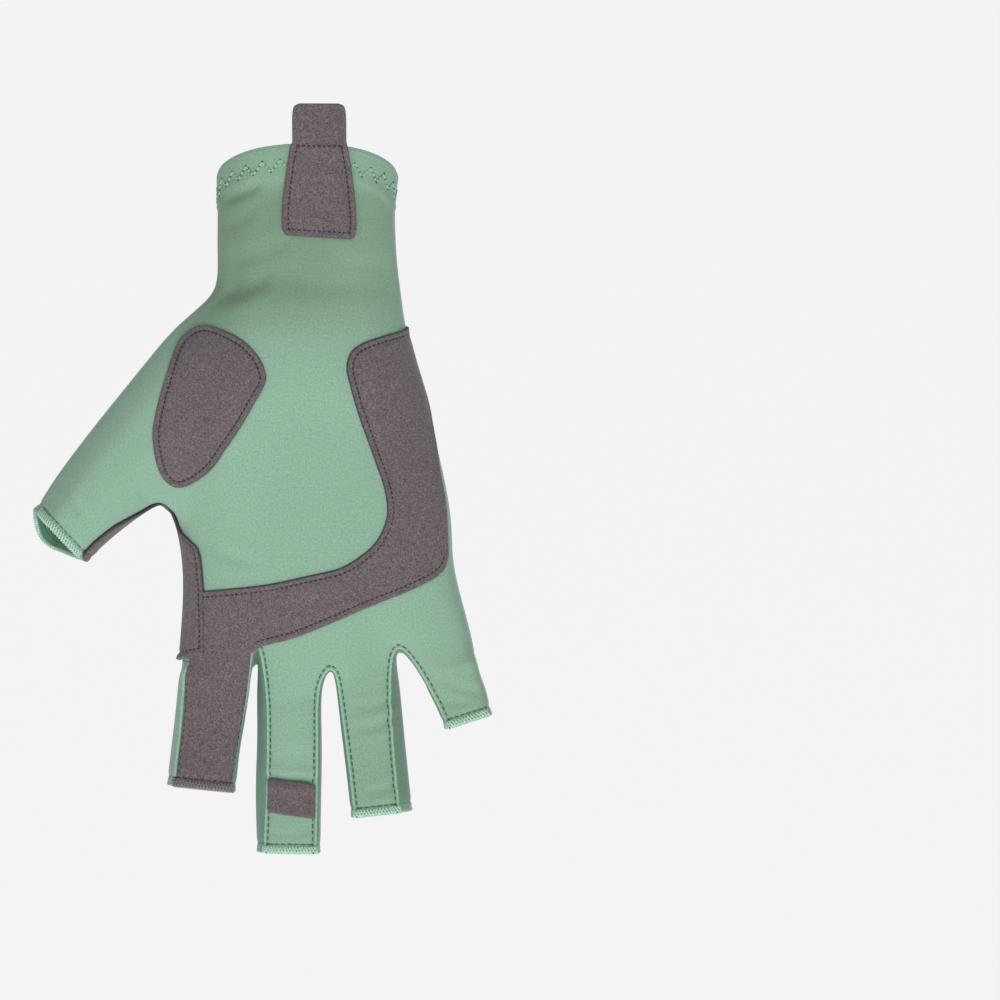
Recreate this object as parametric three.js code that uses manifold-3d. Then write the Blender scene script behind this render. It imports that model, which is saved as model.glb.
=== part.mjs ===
// A right-hand half-finger fishing glove, as it stands filled by a hand: fingers down, palm towards -Y.
// Stretch-fabric panels are joined at seams, and microsuede pieces are sewn on where line and rod rub.
// Millimetres, +Z up. The origin is the middle of the cuff's opening, where the hand goes in.
import * as THREE from "three";
import { mergeVertices } from "three/addons/utils/BufferGeometryUtils.js";
import Module from "manifold-3d";

const wasm = await Module();
wasm.setup();

// The hand that the glove is cut for
const PALM_LENGTH = 158; // from the middle of the rim to the line of the finger webs
const WRIST_WIDTH = 57;
const WRIST_DEPTH = 40;
const PALM_WIDTH = 86; // across the palm, below the thumb
const KNUCKLE_DEPTH = 24;
const THUMB_LENGTH = 61; // from the middle of its root to the middle of its opening
const THUMB_WIDTH = 22.5;
const THUMB_DEPTH = 20;
const THUMB_ANGLE = 46.8; // degrees out from straight down
const THENAR_BULGE = 5; // how far the thumb's mound stands out of the palm
const FINGER_CURL = 7; // degrees that a finger leans to the palm by its tip

// Cloth and sewing
const WALL = 1.2; // stretch fabric
const SUEDE = 1.0; // microsuede reinforcement
const WEB_SUEDE = 1.4; // the doubled microsuede round the thumb's crotch
const TAB_THICKNESS = 1.6;
const CUFF_HEM = 9; // depth of the turned-in hem
const CUFF_HEM_THICKNESS = 1.0;
const FINGER_HEM = 2.6; // height of the overlocked edge at each finger's opening
const FINGER_HEM_PROUD = 0.4;
const GAP = 0.3; // between neighbouring pieces
const RIM_ARCH = 9.8; // how far the rim's middles stand above its sides
const THUMB_SLANT = 5; // how far the back of the thumb's opening reaches beyond its palm side

// Sewn-on pieces
const TAB_WIDTH = 16.4;
const TAB_FOOT_WIDTH = 23.2;
const TAB_RISE = 14; // above the rim
const TAB_DROP = 29.5; // below the rim
const TAB_CORNER = 2.2;
const TAB_SHIFT = 3.9; // towards the little finger from the middle of the wrist
const THENAR_PATCH_LENGTH = 51.6;
const THENAR_PATCH_WIDTH = 35.7;
const BAND_HEIGHT = 11.6; // the guard across the middle finger
const BAND_FROM_TIP = 16.3; // its middle, from the finger's opening
const BAND_TILT = 5; // degrees
const EDGE_INSET = 0.6; // from a finger's seam to the microsuede

// Cross-sections of the body, from the rim to the webs. down is a share of PALM_LENGTH, widen runs from
// the wrist's width at 0 to the palm's at 1, shift is a share of PALM_WIDTH towards the little finger,
// flat runs from the wrist's depth at 0 to the knuckles' at 1, square is the section's roundness
// exponent, and arch is the share of the rim's arch that the section follows.
const SECTIONS = [
  { down: 0, widen: 0, shift: 0, flat: 0, square: 2.1, arch: 1 },
  { down: CUFF_HEM / PALM_LENGTH, widen: -0.02, shift: -0.004, flat: 0, square: 2.1, arch: 1 },
  { down: 0.17, widen: 0, shift: -0.002, flat: 0.05, square: 2.1, arch: 0.35 },
  { down: 0.26, widen: 0.11, shift: -0.004, flat: 0.12, square: 2.15, arch: 0 },
  { down: 0.36, widen: 0.28, shift: -0.003, flat: 0.2, square: 2.2, arch: 0 },
  { down: 0.46, widen: 0.53, shift: 0.008, flat: 0.28, square: 2.3, arch: 0 },
  { down: 0.56, widen: 0.745, shift: 0.019, flat: 0.4, square: 2.4, arch: 0 },
  { down: 0.7, widen: 0.96, shift: 0.037, flat: 0.55, square: 2.7, arch: 0 },
  { down: 0.8, widen: 0.93, shift: 0.048, flat: 0.7, square: 3, arch: 0 },
  { down: 0.9, widen: 1.09, shift: 0.067, flat: 0.85, square: 3.5, arch: 0 },
  { down: 1, widen: 1.28, shift: 0.084, flat: 1, square: 4, arch: 0 },
];
const THUMB_FIRST = 3; // the section where the thumb's root begins
const THUMB_LAST = 7; // the section at the thumb's crotch

// Fingers from the thumb's side. share is of the width at the webs, angle is degrees towards the little
// finger, nudge moves the finger's root as a share of its width, and the insets say how far the palm and
// back panels stop short of the finger's sides, left and right, as shares of its tip's width.
const FINGERS = [
  { name: "index", share: 0.254, length: 40.5, tip: 21, depth: 18, angle: -6, nudge: -0.17,
    palm: [0.09, 0.06], back: [0.03, 0.26] },
  { name: "middle", share: 0.248, length: 60.5, tip: 21, depth: 18, angle: -1, nudge: -0.08,
    palm: [0.17, 0.06], back: [0.08, 0.08] },
  { name: "ring", share: 0.247, length: 48.6, tip: 18.9, depth: 17, angle: 6.4, nudge: 0,
    palm: [0.04, 0.19], back: [0.23, 0.04] },
  { name: "little", share: 0.251, length: 20, tip: 15, depth: 15, angle: 17.5, nudge: 0.32,
    palm: [0.03, 0.05], back: [0.28, 0.04] },
];
const FINGER_ROWS = [0.16, 0.42, 0.7]; // shares of the length, before the hem

// The webs between fingers: how far the palm seam, the middle and the back seam sit below the line of
// the webs, as shares of KNUCKLE_DEPTH.
const WEBS = [
  { name: "index_middle", palm: -0.16, middle: 0.11, back: 0.02 },
  { name: "middle_ring", palm: 0.1, middle: 0.15, back: 0.1 },
  { name: "ring_little", palm: -0.18, middle: -0.13, back: -0.12 },
];

// Where the thumb's outer and inner edges bow, as shares of THUMB_LENGTH: towards the root, and outwards.
const THUMB_BOWS = { outer: { back: 0.125, out: 0.085 }, inner: { back: 0.2, out: 0.13 } };
const THUMB_ROWS = [0.2, 0.42, 0.66, 0.86]; // shares of the way to the opening, before the hem
const THUMB_PALM_INSETS = [0.1, 0.08]; // outer and inner, as shares of THUMB_WIDTH
const THUMB_BACK_INSETS = [0.1, 0.36];
const THUMB_PALM_DEPTHS = [0.4, 0.88, 1, 0.96, 0.74]; // shares of half THUMB_DEPTH, outer edge to inner
const THUMB_BACK_DEPTHS = [0.4, 0.88, 1, 0.94, 0.78];
const THUMB_FORWARD = 0.25; // how far the opening's middle lies to the palm side, a share of THUMB_DEPTH

const SIDE_START = 0.94; // where a panel turns into the side, as a share of the half width
const COLUMNS = 2 * FINGERS.length;
const SEAM_SHARPNESS = 2;

const lerp = THREE.MathUtils.lerp;
const radians = THREE.MathUtils.degToRad;
const smooth = (t) => t * t * (3 - 2 * t);

// The shape of the body

function sectionAt(index) {
  const row = SECTIONS[index];
  return {
    ...row,
    x: row.shift * PALM_WIDTH,
    z: -row.down * PALM_LENGTH,
    halfWidth: lerp(WRIST_WIDTH, PALM_WIDTH, row.widen) / 2,
    halfDepth: lerp(WRIST_DEPTH, KNUCKLE_DEPTH, row.flat) / 2,
  };
}

// Edge shares of the fingers across the knuckles, 0 at the thumb's side and 1 at the little finger's.
const fingerEdges = [0];
FINGERS.forEach((finger) => fingerEdges.push(fingerEdges.at(-1) + finger.share));

// Share across the body, from -1 to 1, of a column of the cage: finger edges and finger middles in turn.
function columnShare(column) {
  const finger = Math.floor(column / 2);
  const edge = fingerEdges[finger];
  const across = column % 2 ? (edge + fingerEdges[finger + 1]) / 2 : edge;
  return SIDE_START * (2 * across - 1);
}

const roundness = (share, square) => Math.max(1 - Math.abs(share) ** square, 0) ** (1 / square);

function thenarBulge(down, share) {
  return THENAR_BULGE * Math.exp(-(((down - 0.47) / 0.17) ** 2) - ((share + 0.72) / 0.45) ** 2);
}

function bodyPoint(index, share, sheet) {
  const row = sectionAt(index);
  const inThumb = index > THUMB_FIRST && index < THUMB_LAST && share < 0;
  const depthShare = roundness(inThumb ? share * 0.8 : share, row.square);
  const bulge = sheet < 0 ? thenarBulge(row.down, share) : 0;
  return new THREE.Vector3(
    row.x + row.halfWidth * share,
    sheet * (row.halfDepth * depthShare + bulge),
    row.z + row.arch * RIM_ARCH * (depthShare - 0.42),
  );
}

// The shape of a finger: a point on its section at a distance down it. across runs from -1 to 1.
function fingerAxis(index) {
  const finger = FINGERS[index];
  const root = sectionAt(SECTIONS.length - 1);
  const rootWidth = root.halfWidth * SIDE_START * 2 * finger.share;
  const middle = SIDE_START * (fingerEdges[index] + fingerEdges[index + 1] - 1);
  const angle = radians(finger.angle);
  return {
    ...finger,
    rootHalf: rootWidth / 2,
    start: new THREE.Vector3(root.x + root.halfWidth * middle + finger.nudge * finger.tip, 0, root.z),
    down: new THREE.Vector3(Math.sin(angle), 0, -Math.cos(angle)),
    right: new THREE.Vector3(Math.cos(angle), 0, Math.sin(angle)),
  };
}

const WEB_CLEARANCE = 1; // each finger is this much narrower than its share of the webs, on each side

function fingerPoint(index, distance, across, depthShare, insets) {
  const finger = fingerAxis(index);
  const way = distance / finger.length;
  const half = lerp(finger.rootHalf - WEB_CLEARANCE, finger.tip / 2, Math.min(1, way * 1.3));
  const inset = insets ? insets[across < 0 ? 0 : 1] * finger.tip * Math.min(1, 0.5 + way) : 0;
  const halfDepth = lerp(KNUCKLE_DEPTH * 0.44, finger.depth / 2, Math.min(1, way * 1.5));
  const lean = finger.length * Math.tan(radians(FINGER_CURL)) * way * way;
  return finger.start
    .clone()
    .addScaledVector(finger.down, distance)
    .addScaledVector(finger.right, across * (half - Math.abs(across) * inset))
    .add(new THREE.Vector3(0, depthShare * halfDepth - lean, 0));
}

const fingerDistances = (finger) => [
  ...FINGER_ROWS.map((share) => share * (finger.length - FINGER_HEM)),
  finger.length - FINGER_HEM,
  finger.length,
];

// The shape of the thumb

const thumbRoot = [];
for (let i = THUMB_FIRST; i <= THUMB_LAST; i++) thumbRoot.push(i);
const THUMB_COLUMNS = thumbRoot.length - 1;
const thumbDown = new THREE.Vector3(-Math.sin(radians(THUMB_ANGLE)), 0, -Math.cos(radians(THUMB_ANGLE)));
const thumbAcross = new THREE.Vector3(Math.cos(radians(THUMB_ANGLE)), 0, -Math.sin(radians(THUMB_ANGLE)));

function bodySide(index) {
  const row = sectionAt(index);
  return new THREE.Vector3(row.x - row.halfWidth, 0, row.z);
}

// A point of the thumb's outline: way 0 is its root and 1 its opening, and column counts from the outer edge.
function thumbOutline(way, column, beforeTip = 0) {
  const share = column / THUMB_COLUMNS;
  const root = bodySide(thumbRoot[0]).lerp(bodySide(thumbRoot.at(-1)), share);
  const own = bodySide(THUMB_FIRST + column).lerp(root, way);
  const middle = bodySide(THUMB_FIRST).lerp(bodySide(THUMB_LAST), 0.5);
  const tip = middle
    .addScaledVector(thumbDown, THUMB_LENGTH - beforeTip)
    .addScaledVector(thumbAcross, (share - 0.5) * THUMB_WIDTH);
  const back = lerp(THUMB_BOWS.outer.back, THUMB_BOWS.inner.back, share) * THUMB_LENGTH;
  const out = lerp(THUMB_BOWS.outer.out, THUMB_BOWS.inner.out, share) * THUMB_LENGTH;
  const bend = own
    .clone()
    .lerp(tip, 0.5)
    .addScaledVector(thumbDown, -back)
    .addScaledVector(thumbAcross, -out);
  const near = own.lerp(bend, way);
  return near.lerp(bend.lerp(tip, way), way);
}

function thumbPoint(way, column, sheet, beforeTip = 0) {
  const insets = sheet < 0 ? THUMB_PALM_INSETS : THUMB_BACK_INSETS;
  const depths = sheet < 0 ? THUMB_PALM_DEPTHS : THUMB_BACK_DEPTHS;
  const share = column / THUMB_COLUMNS;
  const ramp = smooth(way);
  const inset = lerp(insets[0] * (1 - share), -insets[1] * share, share) * THUMB_WIDTH * ramp;
  const root = bodyPoint(THUMB_FIRST + column, -SIDE_START, sheet);
  const tipY = sheet * depths[column] * (THUMB_DEPTH / 2) - THUMB_FORWARD * THUMB_DEPTH;
  const slant = sheet < 0 ? 0 : depths[column] * THUMB_SLANT * way ** 3;
  const point = thumbOutline(way, column, beforeTip)
    .addScaledVector(thumbAcross, inset)
    .addScaledVector(thumbDown, slant);
  point.y = lerp(root.y, tipY, ramp);
  return point;
}

// The cage: a coarse net of four-cornered faces, each tagged with the panel of cloth that it belongs to

const cage = { points: [], faces: [], sharp: new Map(), ids: new Map() };
const edgeKey = (a, b) => (a < b ? `${a}:${b}` : `${b}:${a}`);

function vertex(key, make) {
  if (!cage.ids.has(key)) {
    cage.ids.set(key, cage.points.length);
    cage.points.push(make());
  }
  return cage.ids.get(key);
}

function face(corners, tags) {
  cage.faces.push({ corners, ...tags });
}

const PALM = -1;
const BACK = 1;
const lastSection = SECTIONS.length - 1;

function bodyVertex(index, column, sheet) {
  return vertex(`body ${index} ${column} ${sheet}`, () => {
    const point = bodyPoint(index, columnShare(column), sheet);
    const web = index === lastSection && column % 2 === 0 ? WEBS[column / 2 - 1] : undefined;
    if (web) {
      point.z -= KNUCKLE_DEPTH * (sheet === PALM ? web.palm : web.back);
      point.y *= 0.86;
    }
    return point;
  });
}

function fingerVertex(index, row, column, sheet) {
  if (row < 0) return bodyVertex(lastSection, 2 * index + column + 1, sheet);
  const finger = FINGERS[index];
  const depth = column === 0 ? 1.06 : 0.84;
  const insets = sheet === PALM ? finger.palm : finger.back;
  return vertex(`finger ${index} ${row} ${column} ${sheet}`, () =>
    fingerPoint(index, fingerDistances(finger)[row], column, sheet * depth, insets),
  );
}

function fingerSide(index, row, side) {
  if (row < 0) {
    const web = index + (side > 0 ? 0 : -1);
    if (web < 0) return sideVertex(lastSection, -1);
    if (web >= WEBS.length) return sideVertex(lastSection, 1);
    return vertex(`web ${web}`, () => {
      const point = bodyPoint(lastSection, columnShare(2 * web + 2), PALM);
      return point.set(point.x, 0, point.z - KNUCKLE_DEPTH * WEBS[web].middle);
    });
  }
  return vertex(`finger side ${index} ${row} ${side}`, () =>
    fingerPoint(index, fingerDistances(FINGERS[index])[row], side, 0, undefined),
  );
}

function sideVertex(index, side) {
  return vertex(`side ${index} ${side}`, () => {
    const row = sectionAt(index);
    const rim = row.arch * RIM_ARCH * (0 - 0.42);
    return new THREE.Vector3(row.x + side * row.halfWidth, 0, row.z + rim);
  });
}

const thumbRowCount = THUMB_ROWS.length + 2; // with the hem's two lines

function thumbWay(row) {
  return row < THUMB_ROWS.length ? [THUMB_ROWS[row], 0] : [1, row === THUMB_ROWS.length ? FINGER_HEM : 0];
}

function thumbVertex(row, column, sheet) {
  if (row < 0) return bodyVertex(THUMB_FIRST + column, 0, sheet);
  const [way, beforeTip] = thumbWay(row);
  return vertex(`thumb ${row} ${column} ${sheet}`, () => thumbPoint(way, column, sheet, beforeTip));
}

function thumbSide(row, outer) {
  const column = outer ? 0 : THUMB_COLUMNS;
  if (row < 0) return sideVertex(THUMB_FIRST + column, -1);
  const [way, beforeTip] = thumbWay(row);
  return vertex(`thumb side ${row} ${outer}`, () => {
    const point = thumbOutline(way, column, beforeTip);
    point.y = -THUMB_FORWARD * THUMB_DEPTH * smooth(way);
    return point;
  });
}

// A rectangle of the net. Palm faces turn to -Y, and back faces are the same ones turned over.
function sheetFace(a, b, c, d, sheet, tags) {
  face(sheet === PALM ? [a, b, c, d] : [d, c, b, a], tags);
  if (tags.panel.endsWith("_hem")) cage.sharp.set(edgeKey(...tags.hemLine), SEAM_SHARPNESS);
}

for (const sheet of [PALM, BACK]) {
  const panel = sheet === PALM ? "palm" : "back";
  for (let i = 0; i < lastSection; i++)
    for (let k = 0; k < COLUMNS; k++) {
      const at = (di, dk) => bodyVertex(i + di, k + dk, sheet);
      const tags = { panel, part: "body", row: i, column: k, sheet };
      sheetFace(at(0, 0), at(1, 0), at(1, 1), at(0, 1), sheet, tags);
    }
  FINGERS.forEach((finger, index) => {
    const rows = fingerDistances(finger).length;
    for (let j = -1; j < rows - 1; j++)
      for (const k of [-1, 0]) {
        const at = (dj, dk) => fingerVertex(index, j + dj, k + dk, sheet);
        const own = j === rows - 2 ? `${finger.name}_hem` : panel;
        const tags = { panel: own, part: finger.name, row: j, sheet, hemLine: [at(0, 0), at(0, 1)] };
        sheetFace(at(0, 0), at(1, 0), at(1, 1), at(0, 1), sheet, tags);
      }
  });
  for (let j = -1; j < thumbRowCount - 1; j++)
    for (let c = 0; c < THUMB_COLUMNS; c++) {
      const at = (dj, dc) => thumbVertex(j + dj, c + dc, sheet);
      const own = j === thumbRowCount - 2 ? "thumb_hem" : panel;
      const tags = { panel: own, part: "thumb", row: j, sheet, hemLine: [at(0, 0), at(0, 1)] };
      sheetFace(at(1, 0), at(1, 1), at(0, 1), at(0, 0), sheet, tags);
    }
}

// The sides: chains of three vertices, palm edge, middle and back edge, run with the outside to their right.
// seam says whether the palm and back edges are sewn, and panels names the palm half and the back half.
function sideStrip(chain, tagsAt, seams) {
  for (let i = 0; i + 1 < chain.length; i++) {
    const [a, b] = [chain[i], chain[i + 1]];
    const tags = tagsAt(i);
    face([a[0], a[1], b[1], b[0]], { ...tags, panel: tags.halves[0], sheet: PALM });
    face([a[1], a[2], b[2], b[1]], { ...tags, panel: tags.halves[1], sheet: BACK });
    const sewn = seams(i);
    if (sewn[0]) cage.sharp.set(edgeKey(a[0], b[0]), SEAM_SHARPNESS);
    if (sewn[1]) cage.sharp.set(edgeKey(a[2], b[2]), SEAM_SHARPNESS);
    if (!tags.halves[0].endsWith("_hem")) continue;
    const line = i === 0 ? b : a;
    for (const half of [0, 1]) cage.sharp.set(edgeKey(line[half], line[half + 1]), SEAM_SHARPNESS);
  }
}

const count = (n) => [...Array(n).keys()];
const fingerRows = fingerDistances(FINGERS[0]).length;
const fingerTriple = (index, row, side) => [
  fingerVertex(index, row, side, PALM),
  fingerSide(index, row, side),
  fingerVertex(index, row, side, BACK),
];
const bodyTriple = (index, side) => [
  bodyVertex(index, side < 0 ? 0 : COLUMNS, PALM),
  sideVertex(index, side),
  bodyVertex(index, side < 0 ? 0 : COLUMNS, BACK),
];
const thumbTriple = (row, outer) => [
  thumbVertex(row, outer ? 0 : THUMB_COLUMNS, PALM),
  thumbSide(row, outer),
  thumbVertex(row, outer ? 0 : THUMB_COLUMNS, BACK),
];

// From the cuff down the thumb's outer side
const outerChain = [
  ...count(THUMB_FIRST + 1).map((i) => bodyTriple(i, -1)),
  ...count(thumbRowCount).map((j) => thumbTriple(j, true)),
];
sideStrip(
  outerChain,
  (i) => {
    const hem = i === outerChain.length - 2;
    return { part: "outer side", row: i, halves: hem ? ["thumb_hem", "thumb_hem"] : ["palm", "back"] };
  },
  () => [false, false],
);

// From the thumb's opening round its crotch to the index finger's opening
const crotchAt = thumbRowCount;
const webEnd = crotchAt + lastSection - THUMB_LAST;
const innerChain = [
  ...count(thumbRowCount).reverse().map((j) => thumbTriple(j, false)),
  ...count(lastSection - THUMB_LAST + 1).map((i) => bodyTriple(THUMB_LAST + i, -1)),
  ...count(fingerRows).map((j) => fingerTriple(0, j, -1)),
];
sideStrip(
  innerChain,
  (i) => {
    const own = i === 0 ? "thumb_hem" : i === innerChain.length - 2 ? "index_hem" : "back";
    return { part: i < webEnd ? "web" : "index side", row: i, halves: [own, own] };
  },
  (i) => [i < crotchAt || i >= webEnd, i < crotchAt],
);

// Between each two fingers
WEBS.forEach((web, index) => {
  const chain = [
    ...count(fingerRows).reverse().map((j) => fingerTriple(index, j, 1)),
    ...[-1].map((j) => fingerTriple(index, j, 1)),
    ...count(fingerRows).map((j) => fingerTriple(index + 1, j, -1)),
  ];
  const own = `fourchette_${web.name}`;
  sideStrip(
    chain,
    (i) => {
      const first = i === 0 ? `${FINGERS[index].name}_hem` : own;
      const panel = i === chain.length - 2 ? `${FINGERS[index + 1].name}_hem` : first;
      return { part: web.name, row: i, halves: [panel, panel] };
    },
    () => [true, true],
  );
});

// From the little finger's opening up the side of the hand
const littleChain = [
  ...count(fingerRows).reverse().map((j) => fingerTriple(FINGERS.length - 1, j, 1)),
  ...count(lastSection + 1).reverse().map((i) => bodyTriple(i, 1)),
];
sideStrip(
  littleChain,
  (i) => ({ part: "little side", row: i, halves: i === 0 ? ["little_hem", "little_hem"] : ["palm", "back"] }),
  () => [false, false],
);

// Catmull-Clark subdivision with sharp seams. Old vertices keep their places in the list.
function subdivide({ points, faces, sharp }) {
  const edges = new Map();
  const facePoints = faces.map(({ corners }) =>
    corners.reduce((sum, c) => sum.add(points[c]), new THREE.Vector3()).multiplyScalar(1 / corners.length),
  );
  faces.forEach(({ corners }, f) =>
    corners.forEach((a, i) => {
      const b = corners[(i + 1) % corners.length];
      const key = edgeKey(a, b);
      if (!edges.has(key)) edges.set(key, { a, b, key, faces: [], id: points.length + edges.size });
      edges.get(key).faces.push(f);
    }),
  );
  const around = points.map(() => ({ faces: [], edges: [] }));
  faces.forEach(({ corners }, f) => corners.forEach((c) => around[c].faces.push(f)));
  const next = points.map(() => null);
  const nextSharp = new Map();
  for (const edge of edges.values()) {
    const middle = points[edge.a].clone().add(points[edge.b]).multiplyScalar(0.5);
    edge.middle = middle;
    edge.sharp = edge.faces.length < 2 ? Infinity : (sharp.get(edge.key) ?? 0);
    const soft = middle.clone();
    if (edge.faces.length === 2) {
      const sum = facePoints[edge.faces[0]].clone().add(facePoints[edge.faces[1]]);
      soft.multiplyScalar(0.5).addScaledVector(sum, 0.25);
    }
    next[edge.id] = soft.lerp(middle, Math.min(1, edge.sharp));
    around[edge.a].edges.push(edge);
    around[edge.b].edges.push(edge);
    if (edge.sharp > 1) {
      const child = edge.sharp - 1;
      nextSharp.set(edgeKey(edge.a, edge.id), child);
      nextSharp.set(edgeKey(edge.id, edge.b), child);
    }
  }
  points.forEach((point, v) => {
    const { faces: touching, edges: meeting } = around[v];
    const n = meeting.length;
    const creases = meeting.filter((edge) => edge.sharp > 0);
    const mean = (items, pick) =>
      items.reduce((sum, item) => sum.add(pick(item)), new THREE.Vector3()).multiplyScalar(1 / items.length);
    const soft = mean(touching, (f) => facePoints[f])
      .addScaledVector(mean(meeting, (edge) => edge.middle), 2)
      .addScaledVector(point, n - 3)
      .multiplyScalar(1 / n);
    if (creases.length < 2) {
      next[v] = soft;
      return;
    }
    const strength = creases.reduce((sum, edge) => sum + Math.min(1, edge.sharp), 0) / creases.length;
    const along = point.clone().multiplyScalar(0.5).addScaledVector(mean(creases, (edge) => edge.middle), 0.5);
    const crease = creases.length === 2 ? along : point.clone();
    next[v] = soft.lerp(crease, strength);
  });
  const firstFacePoint = points.length + edges.size;
  facePoints.forEach((point) => next.push(point));
  const nextFaces = faces.flatMap(({ corners, ...tags }, f) =>
    corners.map((corner, i) => {
      const ahead = edges.get(edgeKey(corner, corners[(i + 1) % 4])).id;
      const behind = edges.get(edgeKey(corner, corners[(i + 3) % 4])).id;
      return { corners: [corner, ahead, firstFacePoint + f, behind], corner: i, ...tags };
    }),
  );
  return { points: next, faces: nextFaces, sharp: nextSharp };
}

// The cage is swelled until the smooth surface passes through the points that the sizes gave.
const wanted = cage.points.map((point) => point.clone());
for (let i = 0; i < 4; i++) {
  const finer = subdivide(subdivide(cage));
  cage.points.forEach((point, v) => point.add(wanted[v]).sub(finer.points[v]));
}
const skin = subdivide(cage);
const limit = subdivide(subdivide(skin)).points;
skin.points = skin.points.map((_, v) => limit[v]);

const normals = skin.points.map(() => new THREE.Vector3());
for (const { corners } of skin.faces) {
  const [a, b, c, d] = corners.map((v) => skin.points[v]);
  const normal = c.clone().sub(a).cross(d.clone().sub(b));
  corners.forEach((v) => normals[v].add(normal));
}
normals.forEach((normal) => normal.normalize());

// Solids

const solidOf = (vertProperties, triVerts) =>
  new wasm.Manifold(
    new wasm.Mesh({
      numProp: 3,
      vertProperties: new Float32Array(vertProperties),
      triVerts: new Uint32Array(triVerts),
    }),
  );

const trianglesOf = (faces) =>
  faces.flatMap(({ corners: [a, b, c, d] }) => [
    [a, b, c],
    [a, c, d],
  ]);

// A sheet of cloth over some triangles of the skin, between two heights above it. Its border is drawn in
// by inset along the skin, so that neighbouring panels leave each other a seam's gap.
function cloth(triangles, low, high, inset = 0) {
  const border = new Map();
  const directed = new Set(triangles.flatMap(([a, b, c]) => [`${a}>${b}`, `${b}>${c}`, `${c}>${a}`]));
  const walls = [];
  for (const triangle of triangles)
    triangle.forEach((a, i) => {
      const b = triangle[(i + 1) % 3];
      if (directed.has(`${b}>${a}`)) return;
      walls.push([a, b]);
      const along = skin.points[b].clone().sub(skin.points[a]).normalize();
      for (const v of [a, b]) {
        const inward = normals[v].clone().cross(along).normalize();
        border.set(v, (border.get(v) ?? new THREE.Vector3()).add(inward));
      }
    });
  const ids = new Map();
  const positions = [];
  for (const v of triangles.flat())
    if (!ids.has(v)) {
      ids.set(v, ids.size);
      const base = skin.points[v].clone();
      if (border.has(v)) base.addScaledVector(border.get(v).normalize(), inset);
      for (const height of [low, high])
        positions.push(...base.clone().addScaledVector(normals[v], height).toArray());
    }
  const bottom = (v) => 2 * ids.get(v);
  const top = (v) => bottom(v) + 1;
  const faces = [];
  for (const [a, b, c] of triangles) {
    faces.push(top(a), top(b), top(c));
    faces.push(bottom(c), bottom(b), bottom(a));
  }
  // The walls of two neighbours share their diagonals, so that a twisted seam leaves the gap open.
  for (const [a, b] of walls)
    if (a < b) faces.push(top(b), top(a), bottom(a), top(b), bottom(a), bottom(b));
    else faces.push(top(b), top(a), bottom(b), top(a), bottom(a), bottom(b));
  return solidOf(positions, faces);
}

const facesWhere = (test) => trianglesOf(skin.faces.filter(test));

// A prism through the palm side, with its outline in the X and Z of the front view.
const PRISM_REACH = WRIST_DEPTH * 2;

function prism(shape) {
  const geometry = new THREE.ExtrudeGeometry(shape, { depth: PRISM_REACH, bevelEnabled: false, curveSegments: 8 });
  geometry.rotateX(Math.PI / 2);
  geometry.deleteAttribute("normal");
  geometry.deleteAttribute("uv");
  const merged = mergeVertices(geometry, 1e-4);
  return solidOf(merged.attributes.position.array, merged.index.array);
}

// An outline from stretches of points: each stretch is one smooth curve, with a corner between two stretches.
const CURVE_STEP = 3;

function outlineOf(stretches, closed = false) {
  const points = stretches.flatMap((stretch) => {
    const curve = new THREE.CatmullRomCurve3(
      stretch.map(([x, z]) => new THREE.Vector3(x, z, 0)),
      closed,
      "centripetal",
    );
    const steps = stretch.length > 2 ? Math.ceil(curve.getLength() / CURVE_STEP) : 1;
    const made = curve.getPoints(steps);
    return closed ? made.slice(0, -1) : made;
  });
  const distinct = points.filter((p, i) => p.distanceTo(points[(i + 1) % points.length]) > 1e-3);
  return new THREE.Shape(distinct.map((p) => new THREE.Vector2(p.x, p.y)));
}

// A place on the palm: across runs from -1 to 1 between the sides, and down is a share of PALM_LENGTH.
function onPalm(across, down) {
  const last = SECTIONS.findIndex((row) => row.down >= down);
  const index = last < 1 ? 1 : last;
  const [above, below] = [sectionAt(index - 1), sectionAt(index)];
  const share = (down - above.down) / (below.down - above.down);
  const halfWidth = lerp(above.halfWidth, below.halfWidth, share);
  return [lerp(above.x, below.x, share) + across * halfWidth, -down * PALM_LENGTH];
}

// A place on a finger's palm panel, inside its seams by inset.
function onFinger(index, distance, across, inset) {
  const finger = FINGERS[index];
  const point = fingerPoint(index, distance, across, 0, finger.palm);
  point.addScaledVector(fingerAxis(index).right, -across * inset);
  return [point.x, point.z];
}

const flat = (low, high, test) => cloth(facesWhere(test), low, high);
const palmSide = (f) => f.sheet === PALM && f.part !== "web";
const reinforcement = (shape) => flat(GAP, GAP + SUEDE, palmSide).intersect(prism(shape));

// The microsuede round the thumb's crotch, with a flap on the index finger's side of the palm. It is cut
// from the faces of the web and the first column of the palm along the flap's edge.
const inWeb = (f) => f.part === "web" && f.panel !== "thumb_hem";
const underFlap = (f) => f.part === "body" && f.sheet === PALM && f.column === 0 && f.row >= THUMB_LAST;
const webFaces = facesWhere((f) => inWeb(f) || underFlap(f));
const FLAP_EDGE = [
  onPalm(-0.93, 0.685), onPalm(-0.945, 0.715), onPalm(-0.935, 0.757), onPalm(-0.912, 0.797),
  onPalm(-0.885, 0.837), onPalm(-0.86, 0.877), onPalm(-0.85, 0.93), onPalm(-0.842, 1),
];
const beyondFlap = (away) =>
  prism(
    outlineOf([
      FLAP_EDGE.map(([x, z]) => [x + away, z]),
      [[FLAP_EDGE.at(-1)[0] + away, -1.1 * PALM_LENGTH], [0, -1.1 * PALM_LENGTH], [0, FLAP_EDGE[0][1]]],
    ]),
  );

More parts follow.
